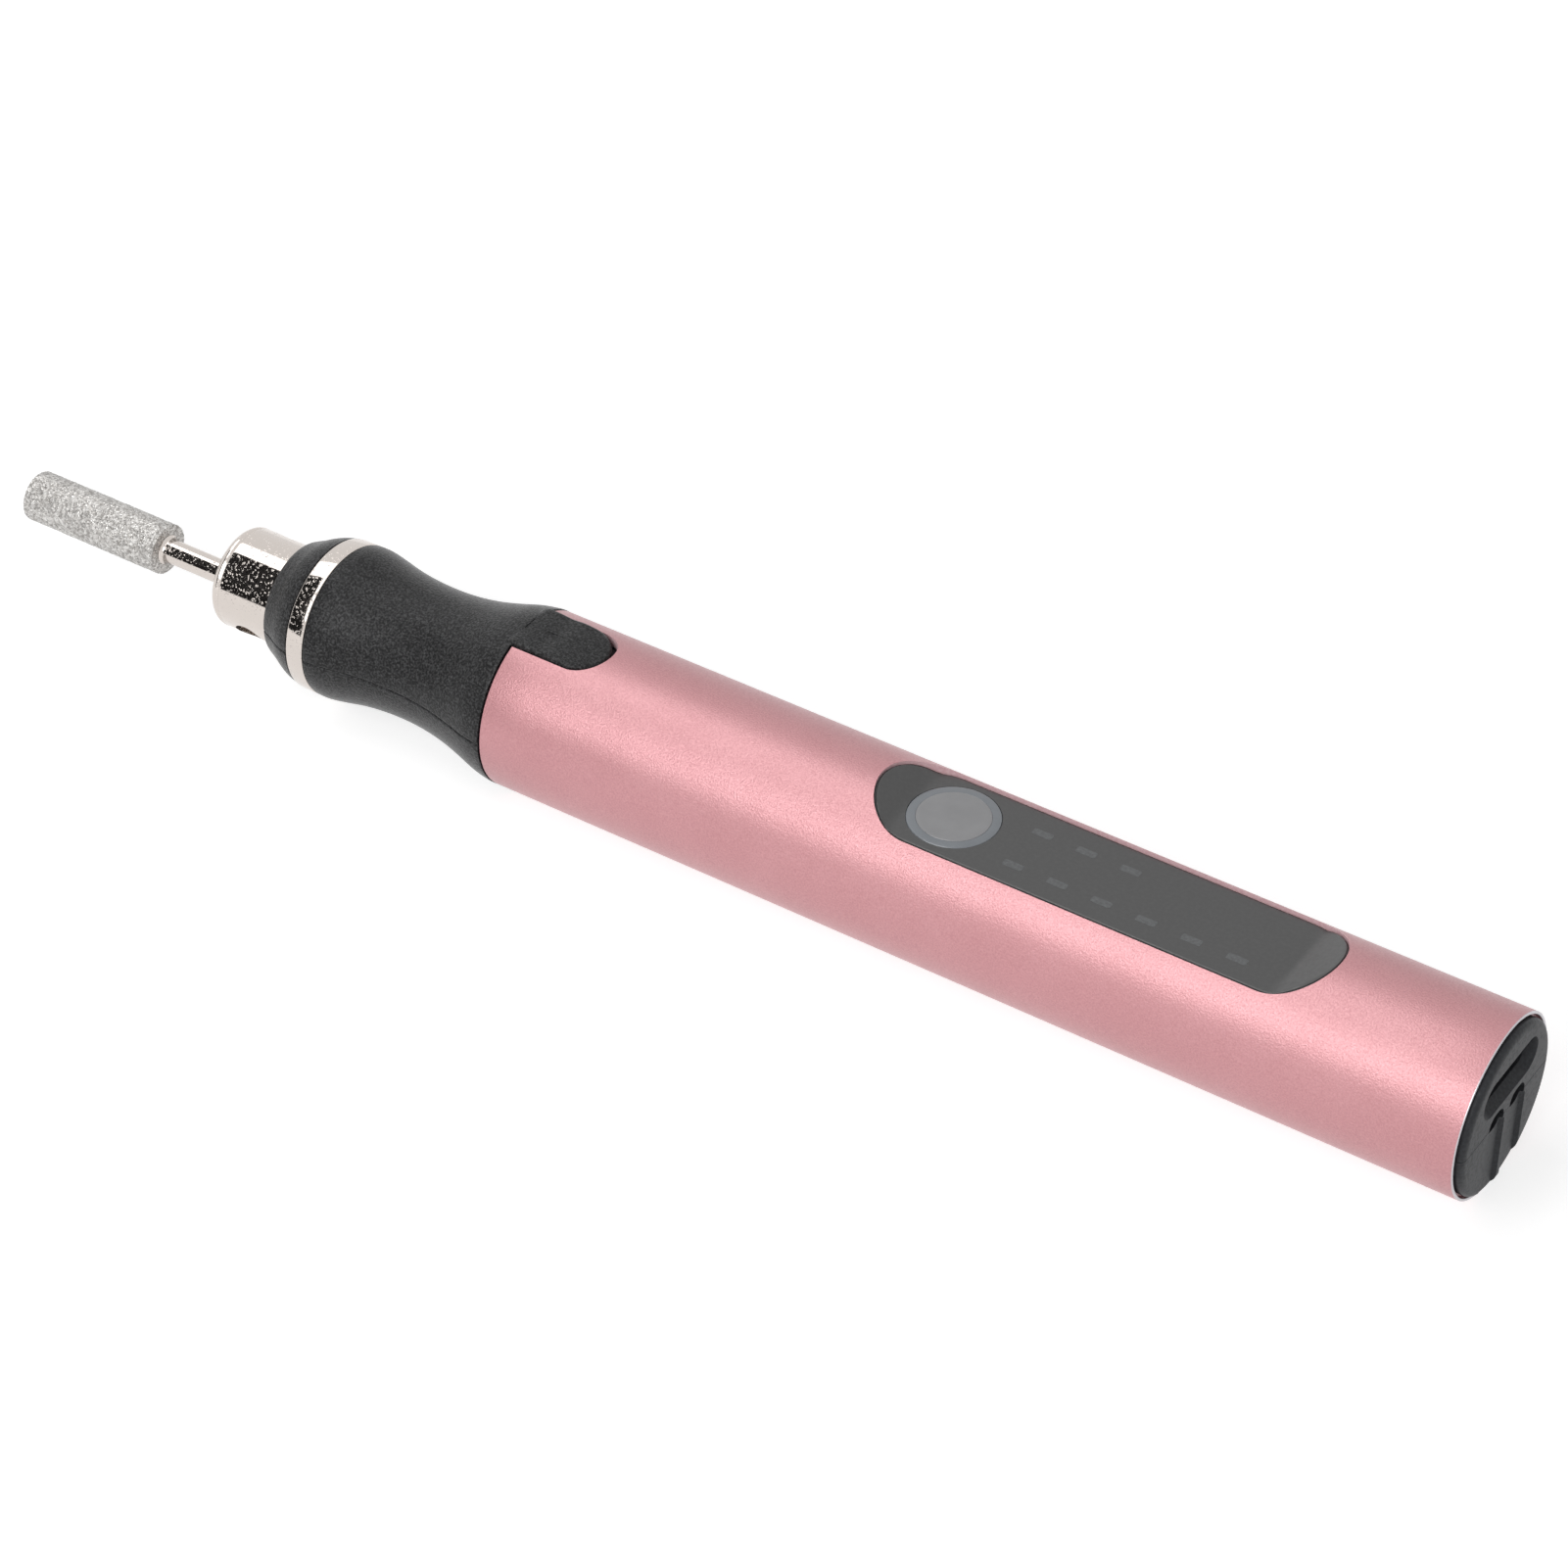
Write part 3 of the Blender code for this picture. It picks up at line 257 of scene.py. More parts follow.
def linearColour(hexValue):
    # an sRGB hex colour as linear light
    channels = [int(hexValue[start:start + 2], 16) / 255 for start in (1, 3, 5)]
    linear = [c / 12.92 if c <= 0.04045 else ((c + 0.055) / 1.055) ** 2.4 for c in channels]
    return (*linear, 1)


def perSize(millimetres):
    # the texture scale that makes one feature about this wide
    return 1000 / millimetres


def addNode(material, kind, settings=None, links=None):
    # one node with its settings and what feeds it
    node = material.node_tree.nodes.new(kind)
    for key, value in (settings or {}).items():
        if isinstance(key, int) or key in node.inputs:
            node.inputs[key].default_value = value
        else:
            setattr(node, key, value)
    for key, source in (links or {}).items():
        material.node_tree.links.new(source, node.inputs[key])
    return node


def startMaterial(name, colour, metallic, roughness, **sockets):
    # a plain material, with its shader and the place in the piece that its textures follow
    material = bpy.data.materials.new(name)
    material.use_nodes = True
    shader = material.node_tree.nodes["Principled BSDF"]
    shader.inputs["Base Color"].default_value = linearColour(colour)
    shader.inputs["Metallic"].default_value = metallic
    shader.inputs["Roughness"].default_value = roughness
    for key, value in sockets.items():
        shader.inputs[key.replace("_", " ")].default_value = value
    place = addNode(material, "ShaderNodeTexCoord").outputs["Object"]
    return material, shader, place


def feed(material, shader, **sources):
    for key, source in sources.items():
        material.node_tree.links.new(source, shader.inputs[key.replace("_", " ")])


def noiseAt(material, place, size, detail=2.0, **settings):
    # noise with features about this many millimetres wide
    settings = {"Scale": perSize(size), "Detail": detail, **settings}
    return addNode(material, "ShaderNodeTexNoise", settings, {"Vector": place}).outputs["Fac"]


def addShare(material, first, share, second):
    # the second factor plus a share of the first
    settings = {"operation": "MULTIPLY_ADD", 1: share}
    return addNode(material, "ShaderNodeMath", settings, {0: first, 2: second}).outputs[0]


def twoTone(material, factor, first, second, low=0.35, high=0.65):
    # a colour that runs between two hex colours as the factor goes from low to high
    ramp = addNode(material, "ShaderNodeValToRGB", links={"Fac": factor})
    ramp.color_ramp.elements[0].position = low
    ramp.color_ramp.elements[1].position = high
    ramp.color_ramp.elements[0].color = linearColour(first)
    ramp.color_ramp.elements[1].color = linearColour(second)
    return ramp.outputs["Color"]


def spread(material, factor, low, high):
    # a number that runs from low to high over the range in which noise mostly lies
    settings = {"To Min": low, "To Max": high, "From Min": 0.3, "From Max": 0.7}
    return addNode(material, "ShaderNodeMapRange", settings, {"Value": factor}).outputs["Result"]


def relief(material, height, strength, depth):
    # a bump with its depth in millimetres
    settings = {"Strength": strength, "Distance": depth * toMetres}
    return addNode(material, "ShaderNodeBump", settings, {"Height": height}).outputs["Normal"]


def anodisedAluminium():
    # bead-blasted, then dyed and anodised: a satin pink with fine bright grains
    material, shader, place = startMaterial("rosePinkAnodisedAluminiumBlasted", "#D19499", 0.3, 0.35,
                                            Specular_IOR_Level=0.75)
    grain = noiseAt(material, place, 0.16)
    cloud = noiseAt(material, place, 6.0, 3.0)
    tone = twoTone(material, addShare(material, cloud, 0.3, grain), "#C98B90", "#D99DA2", 0.45, 0.85)
    feed(material, shader, Base_Color=tone, Roughness=spread(material, grain, 0.4, 0.28),
         Normal=relief(material, grain, 0.8, 0.04))
    return material


def bareAluminium():
    # the cut end of the tube, turned bright and left bare
    material, shader, place = startMaterial("bareAluminiumTurned", "#BFBCC0", 1.0, 0.3)
    feed(material, shader, Roughness=spread(material, noiseAt(material, place, 0.2), 0.25, 0.4))
    return material


def dyedCutPaintedLight():
    # the milled walls of the opening and the notch: dyed with the rest and smoother; their colour is painted
    # paler than the tube's, a painted highlight for the light the walls catch
    material, shader, place = startMaterial("rosePinkAnodisedAluminiumMilledPaintedLight", "#EDC3C7", 0.1, 0.34)
    strokes = noiseAt(material, place, 0.3)
    feed(material, shader, Base_Color=twoTone(material, strokes, "#E9BCC1", "#F1CBCF"),
         Roughness=spread(material, strokes, 0.34, 0.44))
    return material


def mouldedPlastic(name, colour, light, roughness, grain, depth, specular, broadening=22):
    # plastic from a spark-eroded mould: a matt skin of fine pits in a broad mottle, with pale specks painted into
    # its colour as glints off the pits
    material, shader, place = startMaterial(name, colour, 0.0, roughness, IOR=1.53, Specular_IOR_Level=specular)
    pits = noiseAt(material, place, grain, 3.0)
    mottle = addShare(material, noiseAt(material, place, grain * broadening, 3.0), 0.4, pits)
    feed(material, shader, Base_Color=twoTone(material, pits, colour, light, 0.42, 0.72),
         Normal=relief(material, pits, 0.8, depth),
         Roughness=spread(material, mottle, roughness + 0.08, roughness - 0.08))
    return material


def nickelPlate():
    # steel turned, tumbled and nickel plated: a warm mirror, slightly dimpled
    material, shader, place = startMaterial("nickelPlatedSteelTumbled", "#CFC7C1", 1.0, 0.08)
    dimples = noiseAt(material, place, 0.26, Roughness=0.6)
    pits = twoTone(material, dimples, "#000000", "#FFFFFF", 0.6, 0.85)
    feed(material, shader, Normal=relief(material, pits, 0.9, 0.04),
         Roughness=spread(material, dimples, 0.05, 0.11))
    return material


def diamondGrit():
    # diamond grains held in nickel plate: grey, rough and full of tiny glints
    material, shader, place = startMaterial("diamondGritNickelBond", "#C4C1BD", 0.55, 0.42)
    grains = addNode(material, "ShaderNodeTexVoronoi", {"Scale": perSize(0.19)}, {"Vector": place})
    hue = addNode(material, "ShaderNodeSeparateColor", {}, {"Color": grains.outputs["Color"]})
    tone = twoTone(material, hue.outputs["Red"], "#AAA7A4", "#ECEAE7", 0.1, 0.9)
    dust = twoTone(material, noiseAt(material, place, 0.5, 4.0), "#C2BEBA", "#FFFFFF", 0.3, 0.6)
    worn = addNode(material, "ShaderNodeMix", {"data_type": "RGBA", "blend_type": "MULTIPLY", "Factor": 0.5},
                   {6: tone, 7: dust})
    feed(material, shader, Base_Color=worn.outputs[2],
         Normal=relief(material, grains.outputs["Distance"], 0.9, 0.06),
         Roughness=spread(material, hue.outputs["Green"], 0.18, 0.6))
    return material


def smokedPolycarbonate(name, colour, light, roughness):
    # a moulded translucent button: milky grey with a clear gloss skin
    material, shader, place = startMaterial(name, colour, 0.0, roughness, IOR=1.58, Coat_Weight=0.35,
                                            Coat_Roughness=0.12)
    flow = noiseAt(material, place, 2.4, 3.0)
    feed(material, shader, Base_Color=twoTone(material, flow, colour, light, 0.3, 0.7))
    return material


def turnedMetal(name, colour, light, roughness, pitch):
    # bar stock turned on a lathe: fine rings across its length
    material, shader, place = startMaterial(name, colour, 1.0, roughness)
    rings = addNode(material, "ShaderNodeTexWave", {"Scale": perSize(pitch), "Distortion": 2.0, "Detail": 2.0},
                    {"Vector": place})
    patina = noiseAt(material, place, 1.2, 3.0)
    feed(material, shader, Base_Color=twoTone(material, patina, colour, light),
         Roughness=spread(material, patina, roughness - 0.06, roughness + 0.1),
         Normal=relief(material, rings.outputs["Fac"], 0.25, 0.01))
    return material


def plainMoulding(name, colour, light, roughness, speck):
    # nylon, sleeve, ink, ferrite, carbon or solder mask: one colour with a faint mottle
    material, shader, place = startMaterial(name, colour, 0.0, roughness, IOR=1.5)
    mottle = noiseAt(material, place, speck, 3.0)
    feed(material, shader, Base_Color=twoTone(material, mottle, colour, light),
         Roughness=spread(material, mottle, roughness + 0.06, roughness - 0.06),
         Normal=relief(material, mottle, 0.2, 0.01))
    return material


pinkAluminium = anodisedAluminium()
cutAluminium = bareAluminium()
# the milled walls' paler pink is painted light
milledPinkPaintedLight = dyedCutPaintedLight()
# the grip's pale specks are painted glints off its pits
gripAbsPaintedGlints = mouldedPlastic("blackAbsSparkErodedPaintedGlints", "#0D0D0E", "#4C4C4D", 0.36, 0.2, 0.09, 0.2)
capAbs = mouldedPlastic("blackAbsSatinMoulded", "#28292C", "#343639", 0.54, 0.3, 0.01, 0.22)
panelPolycarbonate = mouldedPlastic("greyPolycarbonateSatinMoulded", "#525252", "#575757", 0.36, 0.35, 0.004, 0.4)
nickel = nickelPlate()
grit = diamondGrit()
discPolycarbonate = smokedPolycarbonate("smokedPolycarbonateButton", "#8B8B8D", "#939395", 0.3)
ringPolycarbonate = smokedPolycarbonate("smokedPolycarbonateLightRing", "#757A80", "#7E8389", 0.3)
markInk = plainMoulding("greyPadPrintedInk", "#5C5D5E", "#686A6B", 0.5, 0.3)
zincSteel = turnedMetal("zincPlatedSteelTurned", "#CFCBC8", "#DEDAD7", 0.4, 0.3)
groundSteel = turnedMetal("bearingSteelGround", "#9C9DA0", "#B4B5B8", 0.22, 0.25)
turnedBrass = turnedMetal("brassTurned", "#B58B3E", "#CDA55A", 0.28, 0.25)
bareCopper = turnedMetal("copperDrawn", "#B8683F", "#CE8257", 0.3, 0.35)
ferriteGrey = plainMoulding("ferriteSintered", "#303134", "#3E3F42", 0.7, 0.4)
carbonBlack = plainMoulding("carbonBrushPressed", "#1B1B1C", "#2A2A2B", 0.6, 0.3)
whiteNylon = plainMoulding("whiteNylonMoulded", "#D6D5CE", "#E2E1DB", 0.5, 0.8)
boardMask = plainMoulding("glassEpoxySolderMask", "#12502A", "#1A6136", 0.4, 0.9)
cellSleeve = plainMoulding("cellShrinkSleeveBlue", "#2A5EA8", "#3168B4", 0.36, 1.5)
redSleeve = plainMoulding("redSiliconeSleeve", "#B3201C", "#C22B26", 0.5, 0.6)
blackSleeve = plainMoulding("blackSiliconeSleeve", "#1A1A1B", "#262627", 0.5, 0.6)
print("materials made:", len(bpy.data.materials))


# the burr's axis lies a little off the pen's, as in the photo; its bead is (distance, radius) from its rear face
bit = {
    "centre": (-0.441, 8.155), "tip": -78.17, "rear": -62.47, "radius": 2.47, "rounding": 0.9, "roundingSteps": 8,
    "pitch": 0.14, "steps": 120, "faceRings": (0, 0.5, 1.0, 1.5, 2.0), "faceDepth": 0.4, "holeRadius": 1.24,
    "holeDepth": 5.9, "smoothWithin": 1.3, "grain": 0.2, "ridge": 0.5, "lump": 0.5, "grainHeight": 0.09,
    "shankRadius": 1.175, "shankStart": -68.2, "shankEnd": -43.35, "shankPlain": 12, "shankPitch": 4,
    "shankSteps": 96, "beadGap": 0.01, "bead": ((0, 1.45), (0.1, 1.33), (0.28, 1.22), (0.6, 1.175)),
}


def roughenBurr(head):
    # lifts and sinks the skin into grains; the wall of the shank's hole stays smooth
    ridge = bit["ridge"]
    for vertex in head.data.vertices:
        spot = vertex.co * 1000
        out = Vector((0, spot.y - bit["centre"][0], spot.z - bit["centre"][1]))
        onFace = spot.x < bit["tip"] + bit["faceDepth"]
        if out.length < bit["smoothWithin"] and not onFace:
            continue
        near = noise.voronoi(spot / bit["grain"])[0]
        height = min(near[1] - near[0], ridge) - ridge / 2 + noise.noise(spot / bit["lump"]) * ridge / 2
        away = out.normalized() if out.length > bit["radius"] - bit["rounding"] else Vector((0, 0, 0))
        if onFace:
            away = away + Vector((-1, 0, 0))
        vertex.co += away * height * bit["grainHeight"] * toMetres


def makeBit():
    tip, rear, hole = bit["tip"], bit["rear"], bit["holeRadius"]
    holeEnd = rear - bit["holeDepth"]
    outline = [(tip, radius) for radius in bit["faceRings"]]
    outline += splitRun((tip, bit["radius"]), (rear, bit["radius"]), bit["pitch"])
    outline += [(rear, bit["faceRings"][-1]), (rear, hole), (holeEnd, hole), (holeEnd, 0)]
    outline = softCorners(outline, bit["rounding"], bit["roundingSteps"])
    head = spin("burrHead", outline, bit["steps"], centre=bit["centre"])
    roughenBurr(head)
    addPiece(head, grit, "bit", ["burr_head"])
    face = rear + bit["beadGap"]
    start, end, radius = bit["shankStart"], bit["shankEnd"], bit["shankRadius"]
    shaft = [(start, 0), (start, radius), (face, radius)]
    shaft += smoothRun([(face + along, bulge) for along, bulge in bit["bead"]], 4)
    shaft += splitRun((end - bit["shankPlain"], radius), (end, radius), bit["shankPitch"]) + [(end, 0)]
    shank = spin("burrShank", shaft, bit["shankSteps"], centre=bit["centre"])
    addPiece(shank, nickel, "bit", ["burr_shank"])


chuck = {
    "front": -53.95, "rear": -39.95, "radius": 4.925, "bore": 1.8, "rounding": 0.75, "edge": 0.12, "pitch": 0.3,
    "spindleBore": 2.05, "spindleEnd": -42.95, "screwX": -50.15, "screwTurn": -52, "screwRadius": 1.4,
    "tips": (2.1, 0.98), "head": 3.925, "holeRadius": 1.5, "cut": (0.6, 7), "hexRadius": 0.86, "hexDepth": 0.9,
}


def radialTool(name, outline, low, high, side):
    # a block along the line of the grub screws, between two distances off the axis
    tool = prism(name, outline, low, high)
    turn = math.radians(chuck["screwTurn"] + (180 if side > 0 else 0))
    shift = Vector((chuck["screwX"], 0, axisHeight)) * toMetres
    tool.data.transform(Matrix.Translation(shift) @ Matrix.Rotation(turn, 4, "X"))
    return tool


def makeChuck():
    front, rear, radius = chuck["front"], chuck["rear"], chuck["radius"]
    rounding, head = chuck["rounding"], chuck["head"]
    nose = roundedRim(front, radius, rounding, rounding)[::-1]
    skin = splitRun((front + rounding, radius), (rear, radius), chuck["pitch"])
    inside = [(rear, chuck["spindleBore"]), (chuck["spindleEnd"], chuck["spindleBore"]),
              (chuck["spindleEnd"], chuck["bore"]), (front, chuck["bore"])]
    sleeve = spin("chuckSleeve", nose + softCorners(skin[1:] + inside, chuck["edge"]))
    inner, outer = chuck["cut"]
    carve(sleeve, [radialTool("screwHole", circle(chuck["holeRadius"]), inner, outer, side) for side in (1, -1)])
    addPiece(sleeve, nickel, "spindle_body", ["chuck_sleeve"])
    for name, side, tip in (("near", 1, chuck["tips"][0]), ("far", -1, chuck["tips"][1])):
        screw = radialTool(name + "SetScrew", circle(chuck["screwRadius"]), tip, head, side)
        socket = radialTool(name + "Hex", circle(chuck["hexRadius"], 6), head - chuck["hexDepth"], outer, side)
        carve(screw, [socket])
        addPiece(screw, zincSteel, name + "_screw", [name + "_set_screw"])


grip = {
    "nose": [(-46.9, 5.7), (-46.6, 5.86), (-46.05, 6.12), (-45.4, 6.45), (-44.85, 6.76), (-44.0, 7.12),
             (-43.1, 7.36)],
    "waist": [(-41.05, 7.44), (-39.95, 7.43), (-38.45, 7.18), (-36.45, 6.79), (-34.45, 6.56), (-32.45, 6.47),
              (-30.45, 6.51), (-28.45, 6.71), (-26.45, 7.07), (-24.45, 7.6), (-22.45, 8.2), (-20.95, 8.48),
              (-20.45, 8.5)],
    "hollow": [(-2.45, 6.2), (-10.65, 6.2), (-10.65, 4.5), (-21.3, 4.5), (-21.3, 3.6), (-22.2, 3.6),
               (-22.2, 4.55), (-26.3, 4.55), (-26.3, 3.6), (-34.7, 3.6), (-34.7, 4.55), (-38.8, 4.55),
               (-38.8, 3.6), (-39.65, 3.6), (-39.65, 5.225), (-46.9, 5.225)],
    "ringSeat": 6.72, "spigot": 7.4, "spigotEnd": -2.45, "edge": 0.1, "seam": 0.1, "seamLift": 0.02,
}
gripTab = {
    "root": -21.65, "end": -12.1, "width": 5.95, "top": 8.47, "floor": 6.8, "edge": 0.35, "flatEnd": -16.8,
    "drop": 0.6, "dropPower": 1.6, "dipX": -17.7, "dipReach": 0.9, "dipDepth": 0.12, "flareEnd": -20.2,
    "flareLength": 1.35, "flareRadius": 8.36, "flareSink": 0.06,
}


def tabTop(x, y):
    # a flat top that dips a little past the flare and rounds down towards its end
    past = min(max((x - gripTab["flatEnd"]) / (gripTab["end"] - gripTab["flatEnd"]), 0), 1)
    dip = math.exp(-((x - gripTab["dipX"]) / gripTab["dipReach"]) ** 2) * gripTab["dipDepth"]
    top = gripTab["top"] - gripTab["drop"] * past ** gripTab["dropPower"] - dip
    root = min(max((gripTab["flareEnd"] - x) / gripTab["flareLength"], 0), 1)
    flare = math.sqrt(gripTab["flareRadius"] ** 2 - y**2) - gripTab["flareSink"]
    return axisHeight + top + (flare - top) * root * root * (3 - 2 * root)


def makeGrip():
    nose, waist = grip["nose"], grip["waist"]
    outline = smoothRun(nose, 4) + [(nose[-1][0], grip["ringSeat"]), (waist[0][0], grip["ringSeat"])]
    outline += smoothRun(waist, 5) + [(waist[-1][0], grip["spigot"]), (grip["spigotEnd"], grip["spigot"])]
    outline = softCorners(outline + grip["hollow"], grip["edge"], 2)
    for name, start, side in (("Upper", 0, 1), ("Lower", 180, -1)):
        half = spin("grip" + name + "Half", outline, roundSteps // 2, start, 180, seam=grip["seam"])
        half.data.transform(Matrix.Translation((0, 0, side * grip["seamLift"] * toMetres)))
        if side > 0:
            length = 2 * (gripTab["end"] - gripTab["root"])
            tab = crownedPlate("gripTab", (length, gripTab["width"]), gripTab["root"], tabTop,
                               axisHeight + gripTab["floor"], gripTab["edge"], gripTab["root"])
            addPiece(tab, gripAbsPaintedGlints, "housing", [])
        addPiece(half, gripAbsPaintedGlints, "housing", ["grip_" + name.lower() + "_half"])


noseRing = {"front": -43.0, "rear": -41.15, "inner": 6.84, "outer": 7.46, "rounding": 0.16}


def makeRing():
    front, rear, inner, outer = (noseRing[key] for key in ("front", "rear", "inner", "outer"))
    outline = softCorners([(front, outer), (rear, outer), (rear, inner), (front, inner)], noseRing["rounding"])
    addPiece(spin("noseRing", outline), nickel, "housing", ["nose_ring"])


tube = {
    "front": -20.25, "rear": 77.55, "outer": 8.5, "inner": 7.6, "edge": 0.1, "mouth": (8.22, 0.62), "steps": 192,
    "skinPitch": 4, "borePitch": 12, "opening": (44.95, 10.45), "openingAt": (39.675, -0.15),
    "notch": (17.5, 6.25), "slotSteps": 40, "cutTop": 20, "bareShare": 0.8, "wallLimit": 0.9,
}


def makeTube():
    front, rear, edge = tube["front"], tube["rear"], tube["edge"]
    mouth, depth = tube["mouth"]
    skin = splitRun((front, tube["outer"]), (rear, tube["outer"]), tube["skinPitch"])
    bore = [(rear, mouth), (rear - depth, mouth)]
    bore += splitRun((rear - depth, tube["inner"]), (front, tube["inner"]), tube["borePitch"])
    body = spin("bodyTube", softCorners(skin + bore, edge), tube["steps"])
    tools = []
    for name, (along, across) in (("opening", tube["openingAt"]), ("notch", (front, 0))):
        spots = [(x + along, y + across) for x, y in stadium(*tube[name], tube["slotSteps"])]
        tools.append(prism(name, spots, axisHeight, tube["cutTop"]))
    carve(body, tools)
    addPiece(body, pinkAluminium, "housing", ["body_tube"])
    body.data.materials.append(cutAluminium)
    # the paler pink of the milled walls is a painted highlight
    body.data.materials.append(milledPinkPaintedLight)
    bare, milled = 1, 2
    for face in body.data.polygons:
        spot = face.center * 1000
        out = Vector((0, spot.y, spot.z - axisHeight)).normalized()
        if spot.x > rear - edge * tube["bareShare"]:
            face.material_index = bare
        elif abs(face.normal.dot(out)) < tube["wallLimit"] and spot.x > front + edge:
            face.material_index = milled


panel = {
    "centreX": 39.675, "size": (44.6, 9.95), "shift": -0.075, "edge": 0.14, "top": 6.5, "bottom": 5.0,
    "crown": 8.36, "frontFlat": 20.2, "frontSlope": 1.9 / 2.85, "rearFlat": 58.2, "rearSlope": 1.9 / 3.8,
    # a black sheet under the panel's rim, painted shade for the gap round the panel
    "gapShadeSheet": (44.9, 10.38), "gapShadeSheetDrop": 0.13, "gapShadeSheetEdge": 0.05,
}
marks = {"size": (1.9, 0.8), "corner": 0.2, "start": 31.95, "pitch": 4.36, "rows": ((2.3, 3), (-2.66, 6)),
         "rise": 0.012, "depth": 0.03}
# the edges of the ring and the disc are (distance below the top, distance in from the rim)
button = {
    "x": 24.4, "hole": 4.22, "holeSteps": 120, "cut": (10, 20), "steps": 144, "ringOuter": 4.19,
    "ringInner": 3.34, "ringRise": 0.05, "ringEdge": ((0.1, 0), (0.03, 0.05), (0, 0.16)), "ringLip": (0.02, 0.03),
    "discRadius": 3.335, "discRise": 0.12, "discDepth": 1.5, "discEdge": ((0.05, 0), (0.02, 0.03), (0, 0.16)),
    "discDish": 0.05, "dishRings": (2.9, 2.6, 2.2, 1.8, 1.4, 1.0, 0.6, 0.3, 0),
}


def panelTop(x, y):
    # flat, with a ramp at each end that rises to the crown of the tube
    rise = max(0, panel["frontFlat"] - x) * panel["frontSlope"]
    rise += max(0, x - panel["rearFlat"]) * panel["rearSlope"]
    crown = math.sqrt(panel["crown"] ** 2 - y**2)
    return axisHeight + min(crown, panel["top"] + rise)


def panelPlate(name, size, shift, drop, edge):
    # a plate in the opening of the tube, lowered by the drop, with the hole for the button
    plate = crownedPlate(name, size, panel["centreX"], lambda x, y: panelTop(x, y) - drop,
                         axisHeight + panel["bottom"], edge)
    plate.data.transform(Matrix.Translation((0, shift * toMetres, 0)))
    hole = circle(button["hole"], button["holeSteps"], (button["x"], 0))
    carve(plate, [prism("buttonHole", hole, *button["cut"])])
    return plate


def makePanel():
    plate = panelPlate("controlPanel", panel["size"], panel["shift"], 0, panel["edge"])
    addPiece(plate, panelPolycarbonate, "housing", ["control_panel"])
    # a black sheet under the panel's rim: painted shade that darkens the gap round the panel
    gapShade = panelPlate("panelGapShadeSheet", panel["gapShadeSheet"], tube["openingAt"][1], panel["gapShadeSheetDrop"],
                      panel["gapShadeSheetEdge"])
    addPiece(gapShade, blackSleeve, "housing", [])
    top = axisHeight + panel["top"]
    length, width = marks["size"]
    for rowIndex, (across, count) in enumerate(marks["rows"]):
        for index in range(count):
            x = marks["start"] + marks["pitch"] * index
            spots = [(x + right * length / 2, across + up * width / 2) for right, up in squareCorners]
            mark = prism(f"levelMark{rowIndex + 1}_{index + 1}", softCorners(spots, marks["corner"]),
                         top - marks["depth"], top + marks["rise"])
            addPiece(mark, markInk, "housing", [])


def spinUpright(name, outline):
    # a turned piece whose axis points up out of the panel, at the button
    piece = spin(name, outline, button["steps"], centre=(0, 0))
    shift = Matrix.Translation((button["x"] * toMetres, 0, 0))
    piece.data.transform(shift @ Matrix.Rotation(-math.pi / 2, 4, "Y"))
    return piece


def makeButton():
    top, base = axisHeight + panel["top"], axisHeight + panel["bottom"]
    outer, inner = button["ringOuter"], button["ringInner"]
    ringTop = top + button["ringRise"]
    lipRise, lipInset = button["ringLip"]
    outline = [(base, inner), (base, outer)]
    outline += [(ringTop - drop, outer - inset) for drop, inset in button["ringEdge"]]
    outline += [(ringTop + lipRise, inner + lipInset), (ringTop, inner)]
    lightRing = spinUpright("buttonLightRing", outline)
    addPiece(lightRing, ringPolycarbonate, "housing", ["button_light_ring"])
    rim, rings = button["discRadius"], button["dishRings"]
    discTop = top + button["discRise"]
    outline = [(discTop - button["discDepth"], 0), (discTop - button["discDepth"], rim)]
    outline += [(discTop - drop, rim - inset) for drop, inset in button["discEdge"]]
    outline += [(discTop - button["discDish"] * (1 - (radius / rings[0]) ** 2), radius) for radius in rings]
    disc = spinUpright("buttonCap", outline)
    addPiece(disc, discPolycarbonate, "button", ["button_cap"])


# lengths of the slot, its lip and the two loop holes lie across the pen; the grooves' top is below the axis
cap = {
    "floor": 77.0, "face": 78.17, "radius": 7.95, "rounding": (0.5, 0.75), "seamLift": 0.03, "cut": (70, 80),
    "clear": 0.01, "slot": (9.0, 2.7), "slotHeight": 3.65, "slotSteps": 20, "lip": (9.9, 3.7), "lipDepth": 0.9,
    "lipDrop": 0.15, "hole": (2.7, 2.2), "holeSpacing": 3.8, "holeSteps": 16, "grooveWidth": 2.7,
    "grooveDepth": 0.35, "grooveTop": 0.4, "grooveFoot": -2, "grooveFlare": 0.3, "grooveCorner": 0.5,
    "insideGap": 0.03,
}


def grooveTool(across):
    # a channel from a loop hole down over the rim, wider at the face
    edge, top, foot = cap["grooveWidth"] / 2, axisHeight - cap["grooveTop"], cap["grooveFoot"]
    inner = [(across - edge, foot), (across + edge, foot), (across + edge, top), (across - edge, top)]
    outer = [(y + math.copysign(cap["grooveFlare"], y - across), z) for y, z in inner]
    return prism("groove", softCorners(inner, cap["grooveCorner"], 4), cap["face"] - cap["grooveDepth"],
                 cap["face"] + cap["clear"], "x", softCorners(outer, cap["grooveCorner"], 4))


def slotTools():
    # the charging slot, and its mouth that widens towards the face
    slot, lip = stadium(*cap["slot"], cap["slotSteps"]), stadium(*cap["lip"], cap["slotSteps"])
    slot = [(y, z + axisHeight + cap["slotHeight"]) for y, z in slot]
    lip = [(y, z + axisHeight + cap["slotHeight"] - cap["lipDrop"]) for y, z in lip]
    return [prism("slot", slot, *cap["cut"], "x"),
            prism("slotLip", slot, cap["face"] - cap["lipDepth"], cap["face"] + cap["clear"], "x", lip)]


